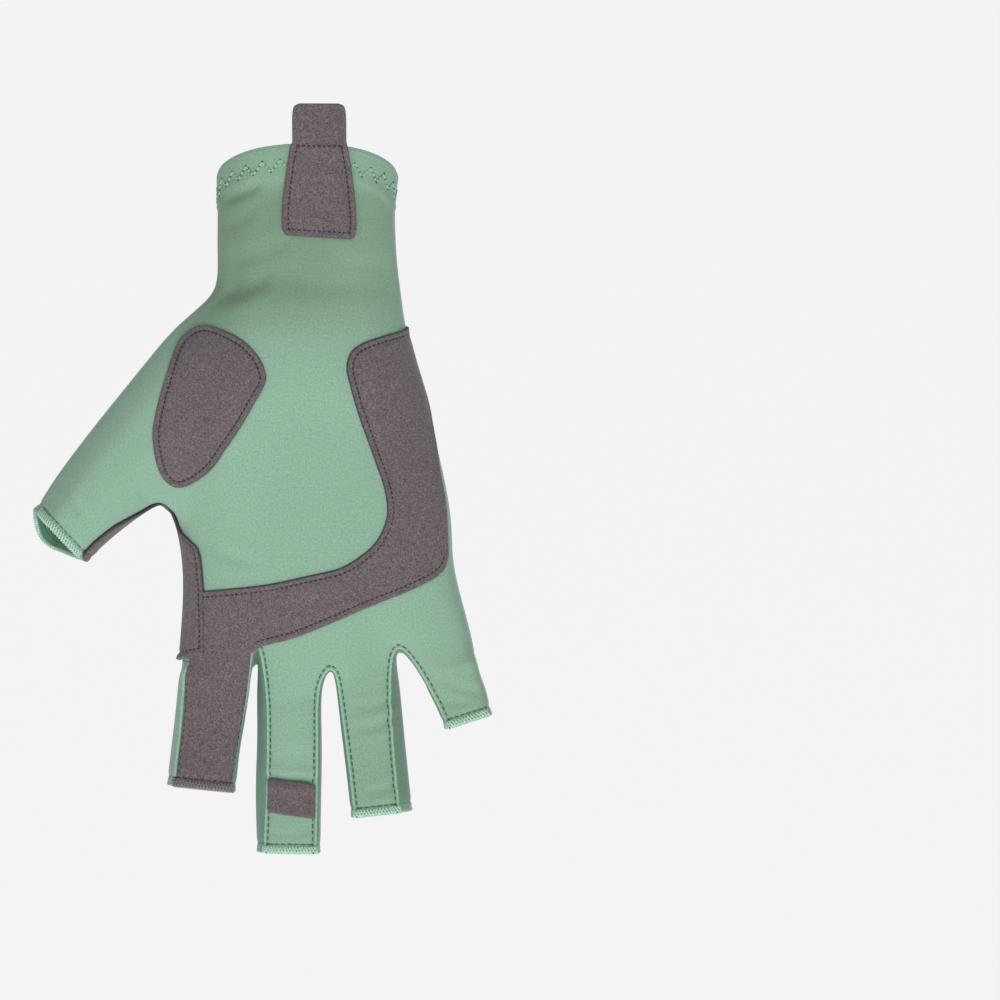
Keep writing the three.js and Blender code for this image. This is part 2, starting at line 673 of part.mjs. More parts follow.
// The long reinforcement: from the heel of the hand down its side, across under the fingers and down the index.
const indexEnd = FINGERS[0].length - FINGER_HEM - GAP;
const indexRows = [0.2, 0.5, 0.8, 1].map((share) => share * indexEnd);
const fingerCorner = (distance, across) => onFinger(0, distance, across, EDGE_INSET);
const guardShape = outlineOf([
  [onPalm(1.3, 0.325), onPalm(0.94, 0.335), onPalm(0.73, 0.348), onPalm(0.54, 0.362), onPalm(0.42, 0.38),
    onPalm(0.36, 0.41), onPalm(0.37, 0.45), onPalm(0.41, 0.51), onPalm(0.48, 0.59), onPalm(0.53, 0.66),
    onPalm(0.52, 0.71), onPalm(0.43, 0.76), onPalm(0.3, 0.79), onPalm(0.15, 0.812), onPalm(-0.1, 0.828),
    onPalm(-0.4, 0.845), onPalm(-0.72, 0.855), onPalm(-1.02, 0.86)],
  [onPalm(-1.02, 0.86), onPalm(-1.02, 0.98)],
  [fingerCorner(2, -1), ...indexRows.map((d) => fingerCorner(d, -1))],
  [fingerCorner(indexEnd, -1), fingerCorner(indexEnd, 1)],
  [...indexRows.map((d) => fingerCorner(d, 1)).reverse(), onPalm(-0.515, 0.985)],
  [onPalm(-0.46, 0.97), onPalm(-0.24, 0.954), onPalm(0.045, 0.923), onPalm(0.34, 0.889), onPalm(0.65, 0.857),
    onPalm(0.86, 0.83), onPalm(0.94, 0.813), onPalm(0.972, 0.795)],
  [onPalm(0.975, 0.79), onPalm(0.98, 0.7), onPalm(0.985, 0.62), onPalm(1.01, 0.56), onPalm(1.1, 0.5),
    onPalm(1.3, 0.45)],
]);

// The patch on the thumb's mound, as shares of its own width and length from its middle.
const THENAR_MIDDLE = onPalm(-0.87, 0.488);
const THENAR_OUTLINE = [
  [-0.11, 0.48], [0.04, 0.5], [0.22, 0.44], [0.4, 0.34], [0.5, 0.22], [0.47, 0.1], [0.27, -0.13],
  [0.13, -0.28], [-0.02, -0.41], [-0.16, -0.48], [-0.28, -0.5], [-0.4, -0.43], [-0.48, -0.29],
  [-0.5, -0.13], [-0.46, 0.04], [-0.39, 0.22], [-0.31, 0.38], [-0.22, 0.46],
];
const thenarShape = outlineOf(
  [THENAR_OUTLINE.map(([across, up]) => [
    THENAR_MIDDLE[0] + across * THENAR_PATCH_WIDTH,
    THENAR_MIDDLE[1] + up * THENAR_PATCH_LENGTH,
  ])],
  true,
);

// The guard across the middle finger, from seam to seam.
const bandEdge = (side, across) => {
  const rise = Math.tan(radians(BAND_TILT)) * across * (FINGERS[1].tip / 2);
  const distance = FINGERS[1].length - BAND_FROM_TIP + side * (BAND_HEIGHT / 2) + rise;
  return onFinger(1, distance, across, EDGE_INSET);
};
const bandShape = outlineOf([
  [bandEdge(-1, -1), bandEdge(-1, 1)],
  [bandEdge(1, 1), bandEdge(1, -1)],
]);

// The pull tab: a flat strip with rounded top corners that widens into a foot sewn to the cuff.
const rimTop = RIM_ARCH * (1 - 0.42);
const tabTop = rimTop + TAB_RISE;
const tabFoot = rimTop - TAB_DROP;
const tabHalf = TAB_WIDTH / 2;
const footHalf = TAB_FOOT_WIDTH / 2;
const atTab = ([x, z]) => [x + TAB_SHIFT, z];
const tabRound = TAB_CORNER * 0.35;
const tabShape = outlineOf(
  [
    [[-tabHalf * 1.02, rimTop + 1], [-tabHalf, tabTop - TAB_CORNER],
      [-tabHalf + tabRound, tabTop - tabRound], [-tabHalf + TAB_CORNER, tabTop]],
    [[tabHalf - TAB_CORNER, tabTop], [tabHalf - tabRound, tabTop - tabRound],
      [tabHalf, tabTop - TAB_CORNER], [tabHalf * 1.04, rimTop + 1]],
    [[tabHalf * 1.1, rimTop - 1], [footHalf * 0.93, lerp(rimTop, tabFoot, 0.45)],
      [footHalf, lerp(rimTop, tabFoot, 0.85)], [footHalf - TAB_CORNER * 0.5, tabFoot - 0.4]],
    [[-footHalf + TAB_CORNER, tabFoot + 1.2], [-footHalf, lerp(rimTop, tabFoot, 0.85)],
      [-footHalf * 0.95, lerp(rimTop, tabFoot, 0.5)], [-tabHalf * 1.1, rimTop - 1]],
  ].map((stretch) => stretch.map(atTab)),
);

// The palm side's face in front of a point, from the facets of the skin.
const palmMesh = new THREE.Mesh(
  new THREE.BufferGeometry()
    .setAttribute("position", new THREE.Float32BufferAttribute(skin.points.flatMap((p) => p.toArray()), 3))
    .setIndex(facesWhere((f) => f.sheet === PALM).flat()),
  new THREE.MeshBasicMaterial({ side: THREE.DoubleSide }),
);

function palmFace(x, z) {
  const ray = new THREE.Raycaster(new THREE.Vector3(x, -PRISM_REACH, z), new THREE.Vector3(0, 1, 0));
  return ray.intersectObject(palmMesh)[0].point.y;
}

// A plate that lies on the cuff and goes straight on above its rim.
function tabPlate() {
  const columns = 8;
  const rows = 12;
  const half = footHalf + 1;
  const heights = count(rows + 1).map((i) => lerp(tabFoot - 3, tabTop + 3, i / rows));
  const rim = (x) => RIM_ARCH * (roundness(x / (WRIST_WIDTH / 2), SECTIONS[0].square) - 0.42);
  const positions = [];
  for (const z of heights)
    for (const i of count(columns + 1)) {
      const x = TAB_SHIFT + lerp(-half, half, i / columns);
      const y = palmFace(x, Math.min(z, rim(x) - 1)) - GAP;
      positions.push(x, y - TAB_THICKNESS, z, x, y, z);
    }
  const at = (row, column, layer) => 2 * (row * (columns + 1) + column) + layer;
  const faces = [];
  const quad = (a, b, c, d) => faces.push(a, b, c, a, c, d);
  for (const r of count(rows))
    for (const c of count(columns)) {
      quad(at(r, c, 0), at(r, c + 1, 0), at(r + 1, c + 1, 0), at(r + 1, c, 0));
      quad(at(r, c, 1), at(r + 1, c, 1), at(r + 1, c + 1, 1), at(r, c + 1, 1));
    }
  for (const c of count(columns)) {
    quad(at(0, c, 1), at(0, c + 1, 1), at(0, c + 1, 0), at(0, c, 0));
    quad(at(rows, c, 0), at(rows, c + 1, 0), at(rows, c + 1, 1), at(rows, c, 1));
  }
  for (const r of count(rows)) {
    quad(at(r, 0, 0), at(r + 1, 0, 0), at(r + 1, 0, 1), at(r, 0, 1));
    quad(at(r, columns, 1), at(r + 1, columns, 1), at(r + 1, columns, 0), at(r, columns, 0));
  }
  return solidOf(positions, faces);
}

// Materials and meshes

const stretchFabric = new THREE.MeshStandardMaterial({ color: 0x8fb8a0, roughness: 0.85, metalness: 0 });
const fourchetteFabric = new THREE.MeshStandardMaterial({ color: 0x84ad95, roughness: 0.85, metalness: 0 });
const microsuede = new THREE.MeshStandardMaterial({ color: 0x6e6568, roughness: 0.95, metalness: 0 });
const overlock = new THREE.MeshStandardMaterial({ color: 0xa4cdb6, roughness: 0.8, metalness: 0 });

const glove = new THREE.Group();

function add(name, solid, material) {
  const made = solid.getMesh();
  const geometry = new THREE.BufferGeometry();
  geometry.setAttribute("position", new THREE.Float32BufferAttribute(made.vertProperties, 3));
  geometry.setIndex(new THREE.Uint32BufferAttribute(made.triVerts, 1));
  geometry.computeVertexNormals();
  const mesh = new THREE.Mesh(geometry, material);
  mesh.name = name;
  glove.add(mesh);
}

const panelOf = (name) => cloth(facesWhere((f) => f.panel === name), -WALL, 0, GAP / 2);
add("palm_panel", panelOf("palm"), stretchFabric);
add("back_panel", panelOf("back"), stretchFabric);
for (const web of WEBS) add(`fourchette_${web.name}`, panelOf(`fourchette_${web.name}`), fourchetteFabric);
for (const name of ["thumb", ...FINGERS.map((finger) => finger.name)]) {
  const hem = cloth(facesWhere((f) => f.panel === `${name}_hem`), -WALL, FINGER_HEM_PROUD, GAP / 2);
  add(`${name}_hem`, hem, overlock);
}

const inCuffHem = (f) => {
  if (f.part === "body") return f.row === 0;
  if (f.part === "outer side") return f.row === 0;
  return f.part === "little side" && f.row === littleChain.length - 2;
};
const hemTop = -WALL - GAP;
add("cuff_hem", cloth(facesWhere(inCuffHem), hemTop - CUFF_HEM_THICKNESS, hemTop), stretchFabric);

add("thumb_web_patch", cloth(webFaces, GAP, GAP + WEB_SUEDE).subtract(beyondFlap(0)), microsuede);
const webClearance = cloth(webFaces, 0, 3 * WEB_SUEDE, -GAP).subtract(beyondFlap(GAP));
add("palm_guard", reinforcement(guardShape).subtract(webClearance), microsuede);
add("thenar_patch", reinforcement(thenarShape), microsuede);
add("finger_band", reinforcement(bandShape), microsuede);
add("pull_tab", tabPlate().intersect(prism(tabShape)), microsuede);

export default glove;
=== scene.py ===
import math

import bpy
import numpy as np
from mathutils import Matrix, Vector
from mathutils.bvhtree import BVHTree
from mathutils.geometry import delaunay_2d_cdt
from mathutils.interpolate import poly_3d_calc
from mathutils.kdtree import KDTree


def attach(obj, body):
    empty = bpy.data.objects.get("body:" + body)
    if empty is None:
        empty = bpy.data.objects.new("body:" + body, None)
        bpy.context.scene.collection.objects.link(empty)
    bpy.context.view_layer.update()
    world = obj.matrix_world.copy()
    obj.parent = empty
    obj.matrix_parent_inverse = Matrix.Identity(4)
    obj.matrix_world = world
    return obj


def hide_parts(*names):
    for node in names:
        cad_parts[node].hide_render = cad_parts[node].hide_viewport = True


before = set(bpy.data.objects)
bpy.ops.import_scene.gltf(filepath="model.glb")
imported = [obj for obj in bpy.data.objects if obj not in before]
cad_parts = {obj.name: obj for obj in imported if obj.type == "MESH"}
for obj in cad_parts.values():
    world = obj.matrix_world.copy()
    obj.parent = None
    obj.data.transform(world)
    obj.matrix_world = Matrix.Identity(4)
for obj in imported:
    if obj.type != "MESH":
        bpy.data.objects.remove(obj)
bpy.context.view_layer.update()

# Studio: one glove seen straight on from its palm side, as far off as a catalogue picture is taken, on a
# pale seamless backdrop, with a broad soft key from the lower right and a weaker fill from the upper left.

MM = 0.001
PIXEL = 0.3187 * MM  # what one pixel of a 1000 x 1000 picture covers at the glove
VIEW_CENTRE = Vector(((500 - 307.5) * PIXEL, 0, (165 - 500) * PIXEL))
CAMERA_DISTANCE = 4.0
FLOOR_Z = -1.6
SWEEP_RADIUS = 0.9
WALL_Y = 5.2  # beyond the camera's circle, so that the glove can be looked at from behind
SENSOR = 36
GLOVE_MIDDLE = Vector((0, 0, -0.1))


def linear(hex_colour, alpha=1.0):
    """An sRGB hex colour as the linear numbers that a shader takes."""
    channels = [int(hex_colour[i : i + 2], 16) / 255 for i in (0, 2, 4)]
    return (*(c / 12.92 if c <= 0.04045 else ((c + 0.055) / 1.055) ** 2.4 for c in channels), alpha)


def node(tree, kind, settings=None, **links):
    """Adds a node to a tree. settings are its own choices, and links its inputs' values or sources."""
    made = tree.nodes.new(kind)
    for key, value in (settings or {}).items():
        setattr(made, key, value)
    for name, value in links.items():
        socket = made.inputs[int(name[1:])] if name[1:].isdigit() else made.inputs[name.replace("_", " ")]
        if isinstance(value, bpy.types.NodeSocket):
            tree.links.new(value, socket)
        else:
            socket.default_value = value
    return made


def new_material(name):
    """A material with an empty tree, and its output node."""
    made = bpy.data.materials.new(name)
    made.use_nodes = True
    made.node_tree.nodes.clear()
    return made, made.node_tree


def add_object(name, mesh):
    made = bpy.data.objects.new(name, mesh)
    bpy.context.scene.collection.objects.link(made)
    return made


camera = bpy.data.cameras.new("camera")
camera.sensor_width = SENSOR
camera.lens = SENSOR * CAMERA_DISTANCE / (1000 * PIXEL)
camera.clip_end = 50
camera_object = add_object("camera", camera)
camera_object.location = VIEW_CENTRE + Vector((0, -CAMERA_DISTANCE, 0))
camera_object.rotation_euler = (math.radians(90), 0, 0)
bpy.context.scene.camera = camera_object
bpy.context.scene.view_settings.view_transform = "Standard"


def add_light(name, place, size, power):
    """A square softbox that looks at the middle of the glove."""
    light = bpy.data.lights.new(name, "AREA")
    light.size = size
    light.energy = power
    made = add_object(name, light)
    made.location = place
    aim = GLOVE_MIDDLE - Vector(place)
    made.rotation_euler = aim.to_track_quat("-Z", "Y").to_euler()


add_light("key_light", (0.5, -2.5, -1.1), 1.1, 33)
add_light("fill_light", (-1.2, -1.6, 0.6), 1.3, 6.8)
add_light("back_light", (0.2, 1.1, 1.4), 1.0, 8)

world = bpy.data.worlds.new("studio_air")
world.use_nodes = True
world.node_tree.nodes["Background"].inputs[0].default_value = (1, 1, 1, 1)
world.node_tree.nodes["Background"].inputs[1].default_value = 0.35
bpy.context.scene.world = world

# Seamless paper: matt, near white, lit evenly enough to read as one tone behind the glove.
seamless_paper, tree = new_material("seamless_paper")
paper_grain = node(tree, "ShaderNodeTexNoise", Scale=900.0, Detail=2.0)
paper_bump = node(tree, "ShaderNodeBump", Strength=0.03, Distance=0.0002, Height=paper_grain.outputs["Fac"])
paper_shader = node(
    tree,
    "ShaderNodeBsdfPrincipled",
    Base_Color=linear("606060"),
    Roughness=0.95,
    Normal=paper_bump.outputs["Normal"],
    Emission_Color=linear("ffffff"),
    Emission_Strength=0.82,
)
node(tree, "ShaderNodeOutputMaterial", Surface=paper_shader.outputs[0])

sweep = [(-6.0, FLOOR_Z)]  # the backdrop's profile: floor, a quarter turn up, and wall
for turn in np.radians(np.linspace(0, 90, 13)):
    y, z = WALL_Y - SWEEP_RADIUS * (1 - math.sin(turn)), FLOOR_Z + SWEEP_RADIUS * (1 - math.cos(turn))
    sweep.append((y, z))
sweep.append((WALL_Y, 4.0))
paper_mesh = bpy.data.meshes.new("backdrop")
paper_mesh.from_pydata(
    [(x, y, z) for y, z in sweep for x in (-4, 4)],
    [],
    [(2 * i, 2 * i + 1, 2 * i + 3, 2 * i + 2) for i in range(len(sweep) - 1)],
)
paper_mesh.shade_smooth()
paper_mesh.materials.append(seamless_paper)
add_object("backdrop", paper_mesh)

# The form that the cloth takes: a right hand in a stretched glove, fingers down and palm to -Y, in
# millimetres from the middle of the cuff's opening. A coarse net of it is rounded into one smooth skin, and
# every panel is cut from that skin along its seams.

PALM_LENGTH = 158  # from the middle of the rim to the line of the finger webs
WRIST_WIDTH = 57
WRIST_DEPTH = 40
PALM_WIDTH = 86
KNUCKLE_DEPTH = 24
THUMB_LENGTH = 61
THUMB_WIDTH = 22.5
THUMB_DEPTH = 20
THUMB_ANGLE = math.radians(46.8)
THENAR_BULGE = 5
FINGER_CURL = math.radians(7)
CUFF_HEM = 9
FINGER_HEM = 2.6
RIM_ARCH = 9.8
RIM_SIDES = 0.42  # where the middle of the arched rim lies, as a share of the arch
THUMB_SLANT = 5
SIDE_START = 0.94  # where a panel turns into the side, as a share of the half width
WEB_CLEARANCE = 1
SEAM_CREASE = 0.447

# down is a share of PALM_LENGTH, widen and flat run from the wrist's size at 0 to the palm's at 1, shift is
# a share of PALM_WIDTH, square is the section's roundness exponent, and arch is the rim's arch that is left.
SECTIONS = [
    dict(zip(("down", "widen", "shift", "flat", "square", "arch"), row))
    for row in (
        (0, 0, 0, 0, 2.1, 1),
        (CUFF_HEM / PALM_LENGTH, -0.02, -0.004, 0, 2.1, 1),
        (0.17, 0, -0.002, 0.05, 2.1, 0.35),
        (0.26, 0.11, -0.004, 0.12, 2.15, 0),
        (0.36, 0.28, -0.003, 0.2, 2.2, 0),
        (0.46, 0.53, 0.008, 0.28, 2.3, 0),
        (0.56, 0.745, 0.019, 0.4, 2.4, 0),
        (0.7, 0.96, 0.037, 0.55, 2.7, 0),
        (0.8, 0.93, 0.048, 0.7, 3, 0),
        (0.9, 1.09, 0.067, 0.85, 3.5, 0),
        (1, 1.28, 0.084, 1, 4, 0),
    )
]
LAST = len(SECTIONS) - 1
THUMB_FIRST, THUMB_LAST = 3, 7

# Fingers from the thumb's side: share of the width at the webs, length, tip's width, depth, angle to the
# little finger in degrees, nudge of the root, and how far the palm and back panels stop short of each side.
FINGERS = [
    dict(zip(("name", "share", "length", "tip", "depth", "angle", "nudge", "palm", "back"), row))
    for row in (
        ("index", 0.254, 40.5, 21, 18, -6, -0.17, (0.09, 0.06), (0.03, 0.26)),
        ("middle", 0.248, 60.5, 21, 18, -1, -0.08, (0.17, 0.06), (0.08, 0.08)),
        ("ring", 0.247, 48.6, 18.9, 17, 6.4, 0, (0.04, 0.19), (0.23, 0.04)),
        ("little", 0.251, 20, 15, 15, 17.5, 0.32, (0.03, 0.05), (0.28, 0.04)),
    )
]
FINGER_ROWS = (0.16, 0.42, 0.7)
WEBS = [  # name, and how far the palm seam, the middle and the back seam sit below the line of the webs
    ("index_middle", -0.16, 0.11, 0.02),
    ("middle_ring", 0.1, 0.15, 0.1),
    ("ring_little", -0.18, -0.13, -0.12),
]
THUMB_BOWS = {"back": (0.125, 0.2), "out": (0.085, 0.13)}  # at the outer and at the inner edge
THUMB_ROWS = (0.2, 0.42, 0.66, 0.86)
THUMB_INSETS = {-1: (0.1, 0.08), 1: (0.1, 0.36)}
THUMB_DEPTHS = {-1: (0.4, 0.88, 1, 0.96, 0.74), 1: (0.4, 0.88, 1, 0.94, 0.78)}
THUMB_FORWARD = 0.25
COLUMNS = 2 * len(FINGERS)
PALM, BACK = -1, 1


def lerp(a, b, t):
    return a + (b - a) * t


def bell(distance, reach):
    """1 at no distance, and 0.37 at the reach."""
    return np.exp(-((distance / reach) ** 2))


def unit(vectors):
    return vectors / np.maximum(np.linalg.norm(vectors, axis=-1, keepdims=True), 1e-9)


def run_along(points):
    """How far along a line each of its points is."""
    return np.concatenate([[0], np.cumsum(np.linalg.norm(np.diff(points, axis=0), axis=1))])


def at_ways(ways, run, *lines):
    """Points of some lines at ways along a run."""
    return [np.stack([np.interp(ways, run, line[:, i]) for i in range(3)], axis=1) for line in lines]


def section_at(index):
    row = SECTIONS[index]
    return dict(
        row,
        x=row["shift"] * PALM_WIDTH,
        z=-row["down"] * PALM_LENGTH,
        half_width=lerp(WRIST_WIDTH, PALM_WIDTH, row["widen"]) / 2,
        half_depth=lerp(WRIST_DEPTH, KNUCKLE_DEPTH, row["flat"]) / 2,
    )


finger_edges = np.cumsum([0] + [f["share"] for f in FINGERS])


def column_share(column):
    """Share across the body, from -1 to 1, of a column of the net: finger edges and middles in turn."""
    edge = finger_edges[column // 2]
    across = (edge + finger_edges[column // 2 + 1]) / 2 if column % 2 else edge
    return SIDE_START * (2 * across - 1)


def roundness(share, square):
    return max(1 - abs(share) ** square, 0) ** (1 / square)


def body_point(index, share, sheet):
    row = section_at(index)
    in_thumb = THUMB_FIRST < index < THUMB_LAST and share < 0
    depth_share = roundness(share * 0.8 if in_thumb else share, row["square"])
    bulge = 0
    if sheet == PALM:
        bulge = THENAR_BULGE * math.exp(-(((row["down"] - 0.47) / 0.17) ** 2) - ((share + 0.72) / 0.45) ** 2)
    rise = row["arch"] * RIM_ARCH * (depth_share - RIM_SIDES)
    depth = row["half_depth"] * depth_share + bulge
    return np.array((row["x"] + row["half_width"] * share, sheet * depth, row["z"] + rise))


def finger_point(index, distance, across, depth_share, insets):
    """A point on a finger's section, distance down it. across runs from -1 to 1."""
    finger = FINGERS[index]
    root = section_at(LAST)
    root_half = root["half_width"] * SIDE_START * finger["share"]
    middle = SIDE_START * (finger_edges[index] + finger_edges[index + 1] - 1)
    angle = math.radians(finger["angle"])
    start_x = root["x"] + root["half_width"] * middle + finger["nudge"] * finger["tip"]
    way = distance / finger["length"]
    half = lerp(root_half - WEB_CLEARANCE, finger["tip"] / 2, min(1, way * 1.3))
    inset = insets[0 if across < 0 else 1] * finger["tip"] * min(1, 0.5 + way) if insets else 0
    half_depth = lerp(KNUCKLE_DEPTH * 0.44, finger["depth"] / 2, min(1, way * 1.5))
    lean = finger["length"] * math.tan(FINGER_CURL) * way * way
    out = across * (half - abs(across) * inset)
    return np.array(
        (
            start_x + math.sin(angle) * distance + math.cos(angle) * out,
            depth_share * half_depth - lean,
            root["z"] - math.cos(angle) * distance + math.sin(angle) * out,
        )
    )


def finger_distances(finger):
    reach = finger["length"] - FINGER_HEM
    return [share * reach for share in FINGER_ROWS] + [reach, finger["length"]]


THUMB_COLUMNS = THUMB_LAST - THUMB_FIRST
THUMB_DOWN = np.array((-math.sin(THUMB_ANGLE), 0, -math.cos(THUMB_ANGLE)))
THUMB_ACROSS = np.array((math.cos(THUMB_ANGLE), 0, -math.sin(THUMB_ANGLE)))


def body_side(index):
    row = section_at(index)
    return np.array((row["x"] - row["half_width"], 0, row["z"]))


def thumb_outline(way, column, before_tip=0):
    """A point of the thumb's outline: way 0 is its root and 1 its opening."""
    share = column / THUMB_COLUMNS
    first, last = body_side(THUMB_FIRST), body_side(THUMB_LAST)
    own = lerp(body_side(THUMB_FIRST + column), lerp(first, last, share), way)
    middle = lerp(first, last, 0.5)
    tip = middle + THUMB_DOWN * (THUMB_LENGTH - before_tip) + THUMB_ACROSS * (share - 0.5) * THUMB_WIDTH
    back = lerp(*THUMB_BOWS["back"], share) * THUMB_LENGTH
    out = lerp(*THUMB_BOWS["out"], share) * THUMB_LENGTH
    bend = lerp(own, tip, 0.5) - THUMB_DOWN * back - THUMB_ACROSS * out
    return lerp(lerp(own, bend, way), lerp(bend, tip, way), way)


def thumb_point(way, column, sheet, before_tip=0):
    share = column / THUMB_COLUMNS
    ramp = way * way * (3 - 2 * way)
    outer, inner = THUMB_INSETS[sheet]
    inset = lerp(outer * (1 - share), -inner * share, share) * THUMB_WIDTH * ramp
    depth = THUMB_DEPTHS[sheet][column]
    tip_y = sheet * depth * THUMB_DEPTH / 2 - THUMB_FORWARD * THUMB_DEPTH
    slant = 0 if sheet == PALM else depth * THUMB_SLANT * way**3
    point = thumb_outline(way, column, before_tip) + THUMB_ACROSS * inset + THUMB_DOWN * slant
    point[1] = lerp(body_point(THUMB_FIRST + column, -SIDE_START, sheet)[1], tip_y, ramp)
    return point


net_points = []
net_ids = {}
net_faces = []  # corners, panel, region, and the first corner's row and column in its region
net_creases = set()


# Small moves of the net's points, to the outlines of the picture, where the sizes give straighter lines.
NET_SHIFTS = {}
for shift, *keys in (
    # The crotch of the thumb, stretched to a rounder arc.
    ((-2.0, 0, -2.6), ("side", THUMB_LAST, -1)),
    ((-1.5, 0, -1.8), ("body", THUMB_LAST, 0, PALM), ("body", THUMB_LAST, 0, BACK)),
    ((-0.8, 0, -0.4), ("side", THUMB_LAST + 1, -1)),
    ((-0.5, 0, 0), ("body", THUMB_LAST + 1, 0, PALM), ("body", THUMB_LAST + 1, 0, BACK)),
    ((-1.0, 0, 1.9), ("thumb side", 0, False)),
    ((-0.7, 0, 1.5), ("thumb", 0, THUMB_COLUMNS, PALM), ("thumb", 0, THUMB_COLUMNS, BACK)),
    ((-0.3, 0, 1.2), ("thumb side", 1, False)),
    ((-0.2, 0, 0.9), ("thumb", 1, THUMB_COLUMNS, PALM), ("thumb", 1, THUMB_COLUMNS, BACK)),
    # The web between the index and middle fingers, and the seams on both sides of it.
    ((-1.6, 0, 1.6), ("web", 0)),
    ((-1.5, 0, 1.1), ("body", LAST, 2, PALM)),
    ((-1.0, 0, 1.0), ("body", LAST, 2, BACK)),
    ((0.5, 0, 0), ("finger side", 0, 0, 1), ("finger side", 0, 1, 1), ("finger", 0, 2, 1, PALM)),
    ((2.1, 0, 0), ("finger", 0, 0, 1, PALM)),
    ((1.6, 0, 0), ("finger", 0, 1, 1, PALM)),
    ((-0.6, 0, 0), ("finger side", 1, 0, -1)),
    ((0.8, 0, 0), ("finger side", 1, 3, -1), ("finger side", 1, 4, -1)),
    ((-0.4, 0, 0), ("finger", 1, 3, -1, PALM), ("finger", 1, 4, -1, PALM)),
    ((0.6, 0, 0), ("finger", 1, 3, -1, BACK), ("finger", 1, 4, -1, BACK)),
    # The side of the hand, which runs straight on into the little finger's.
    ((-1.5, 0, 5.0), ("side", LAST, 1)),
    ((-1.3, 0, 4.6), ("body", LAST, COLUMNS, PALM), ("body", LAST, COLUMNS, BACK)),
    ((-1.9, 0, 0.2), ("finger side", 3, 0, 1)),
    ((-1.7, 0, 0.2), ("finger", 3, 0, 1, PALM), ("finger", 3, 0, 1, BACK)),
    ((-1.1, 0, 0), ("finger side", 3, 1, 1)),
    ((-1.0, 0, 0), ("finger", 3, 1, 1, PALM), ("finger", 3, 1, 1, BACK)),
    ((0.4, 0, 0), ("finger side", 3, 3, 1), ("finger side", 3, 4, 1), ("side", THUMB_LAST + 1, 1)),
    ((-0.2, 0, 0), ("side", THUMB_LAST, 1)),
):
    NET_SHIFTS.update(dict.fromkeys(keys, shift))


def net_vertex(key, make):
    if key not in net_ids:
        net_ids[key] = len(net_points)
        net_points.append(np.array(make(), float) + NET_SHIFTS.get(key, (0, 0, 0)))
    return net_ids[key]


def body_vertex(index, column, sheet):
    def make():
        point = body_point(index, column_share(column), sheet)
        if index == LAST and column % 2 == 0 and 0 < column < COLUMNS:
            _, palm, _, back = WEBS[column // 2 - 1]
            point[2] -= KNUCKLE_DEPTH * (palm if sheet == PALM else back)
            point[1] *= 0.86
        return point

    return net_vertex(("body", index, column, sheet), make)


def side_vertex(index, side):
    def make():
        row = section_at(index)
        return row["x"] + side * row["half_width"], 0, row["z"] - row["arch"] * RIM_ARCH * RIM_SIDES

    return net_vertex(("side", index, side), make)


def finger_vertex(index, row, column, sheet):
    if row < 0:
        return body_vertex(LAST, 2 * index + column + 1, sheet)
    finger = FINGERS[index]
    depth = 1.06 if column == 0 else 0.84
    insets = finger["palm"] if sheet == PALM else finger["back"]
    return net_vertex(
        ("finger", index, row, column, sheet),
        lambda: finger_point(index, finger_distances(finger)[row], column, sheet * depth, insets),
    )


def finger_side(index, row, side):
    if row < 0:
        web = index + (0 if side > 0 else -1)
        if web < 0:
            return side_vertex(LAST, -1)
        if web >= len(WEBS):
            return side_vertex(LAST, 1)

        def make():
            point = body_point(LAST, column_share(2 * web + 2), PALM)
            return point[0], 0, point[2] - KNUCKLE_DEPTH * WEBS[web][2]

        return net_vertex(("web", web), make)
    return net_vertex(
        ("finger side", index, row, side),
        lambda: finger_point(index, finger_distances(FINGERS[index])[row], side, 0, None),
    )


THUMB_LINES = len(THUMB_ROWS) + 2  # with the hem's two lines


def thumb_way(row):
    if row < len(THUMB_ROWS):
        return THUMB_ROWS[row], 0
    return 1, FINGER_HEM if row == len(THUMB_ROWS) else 0


def thumb_vertex(row, column, sheet):
    if row < 0:
        return body_vertex(THUMB_FIRST + column, 0, sheet)
    way, before_tip = thumb_way(row)
    return net_vertex(("thumb", row, column, sheet), lambda: thumb_point(way, column, sheet, before_tip))


def thumb_side(row, outer):
    column = 0 if outer else THUMB_COLUMNS
    if row < 0:
        return side_vertex(THUMB_FIRST + column, -1)
    way, before_tip = thumb_way(row)

    def make():
        point = thumb_outline(way, column, before_tip)
        point[1] = -THUMB_FORWARD * THUMB_DEPTH * way * way * (3 - 2 * way)
        return point

    return net_vertex(("thumb side", row, outer), make)


def sheet_faces(region, rows, columns, vertex, sheet, panel, hem=None):
    """A sheet of the net. hem names the panel of its last row."""
    for r in range(rows):
        for c in range(columns):
            corners = [vertex(r, c), vertex(r + 1, c), vertex(r + 1, c + 1), vertex(r, c + 1)]
            places = [(r, c), (r + 1, c), (r + 1, c + 1), (r, c + 1)]
            if sheet == BACK:
                corners, places = corners[::-1], places[::-1]
            is_hem = hem is not None and r == rows - 1
            net_faces.append((corners, hem if is_hem else panel, region, places))
            if is_hem:
                net_creases.add(frozenset((vertex(r, c), vertex(r, c + 1))))


FINGER_LINES = len(FINGER_ROWS) + 2
for sheet, panel in ((PALM, "palm"), (BACK, "back")):
    sheet_faces(f"{panel} body", LAST, COLUMNS, lambda r, c: body_vertex(r, c, sheet), sheet, panel)
    for index, finger in enumerate(FINGERS):
        name = finger["name"]
        sheet_faces(
            f"{panel} {name}", FINGER_LINES, 2, lambda r, c: finger_vertex(index, r - 1, c - 1, sheet),
            sheet, panel, f"{name}_hem",
        )
    sheet_faces(
        f"{panel} thumb", THUMB_LINES, THUMB_COLUMNS, lambda r, c: thumb_vertex(r - 1, c, sheet),
        sheet, panel, "thumb_hem",
    )


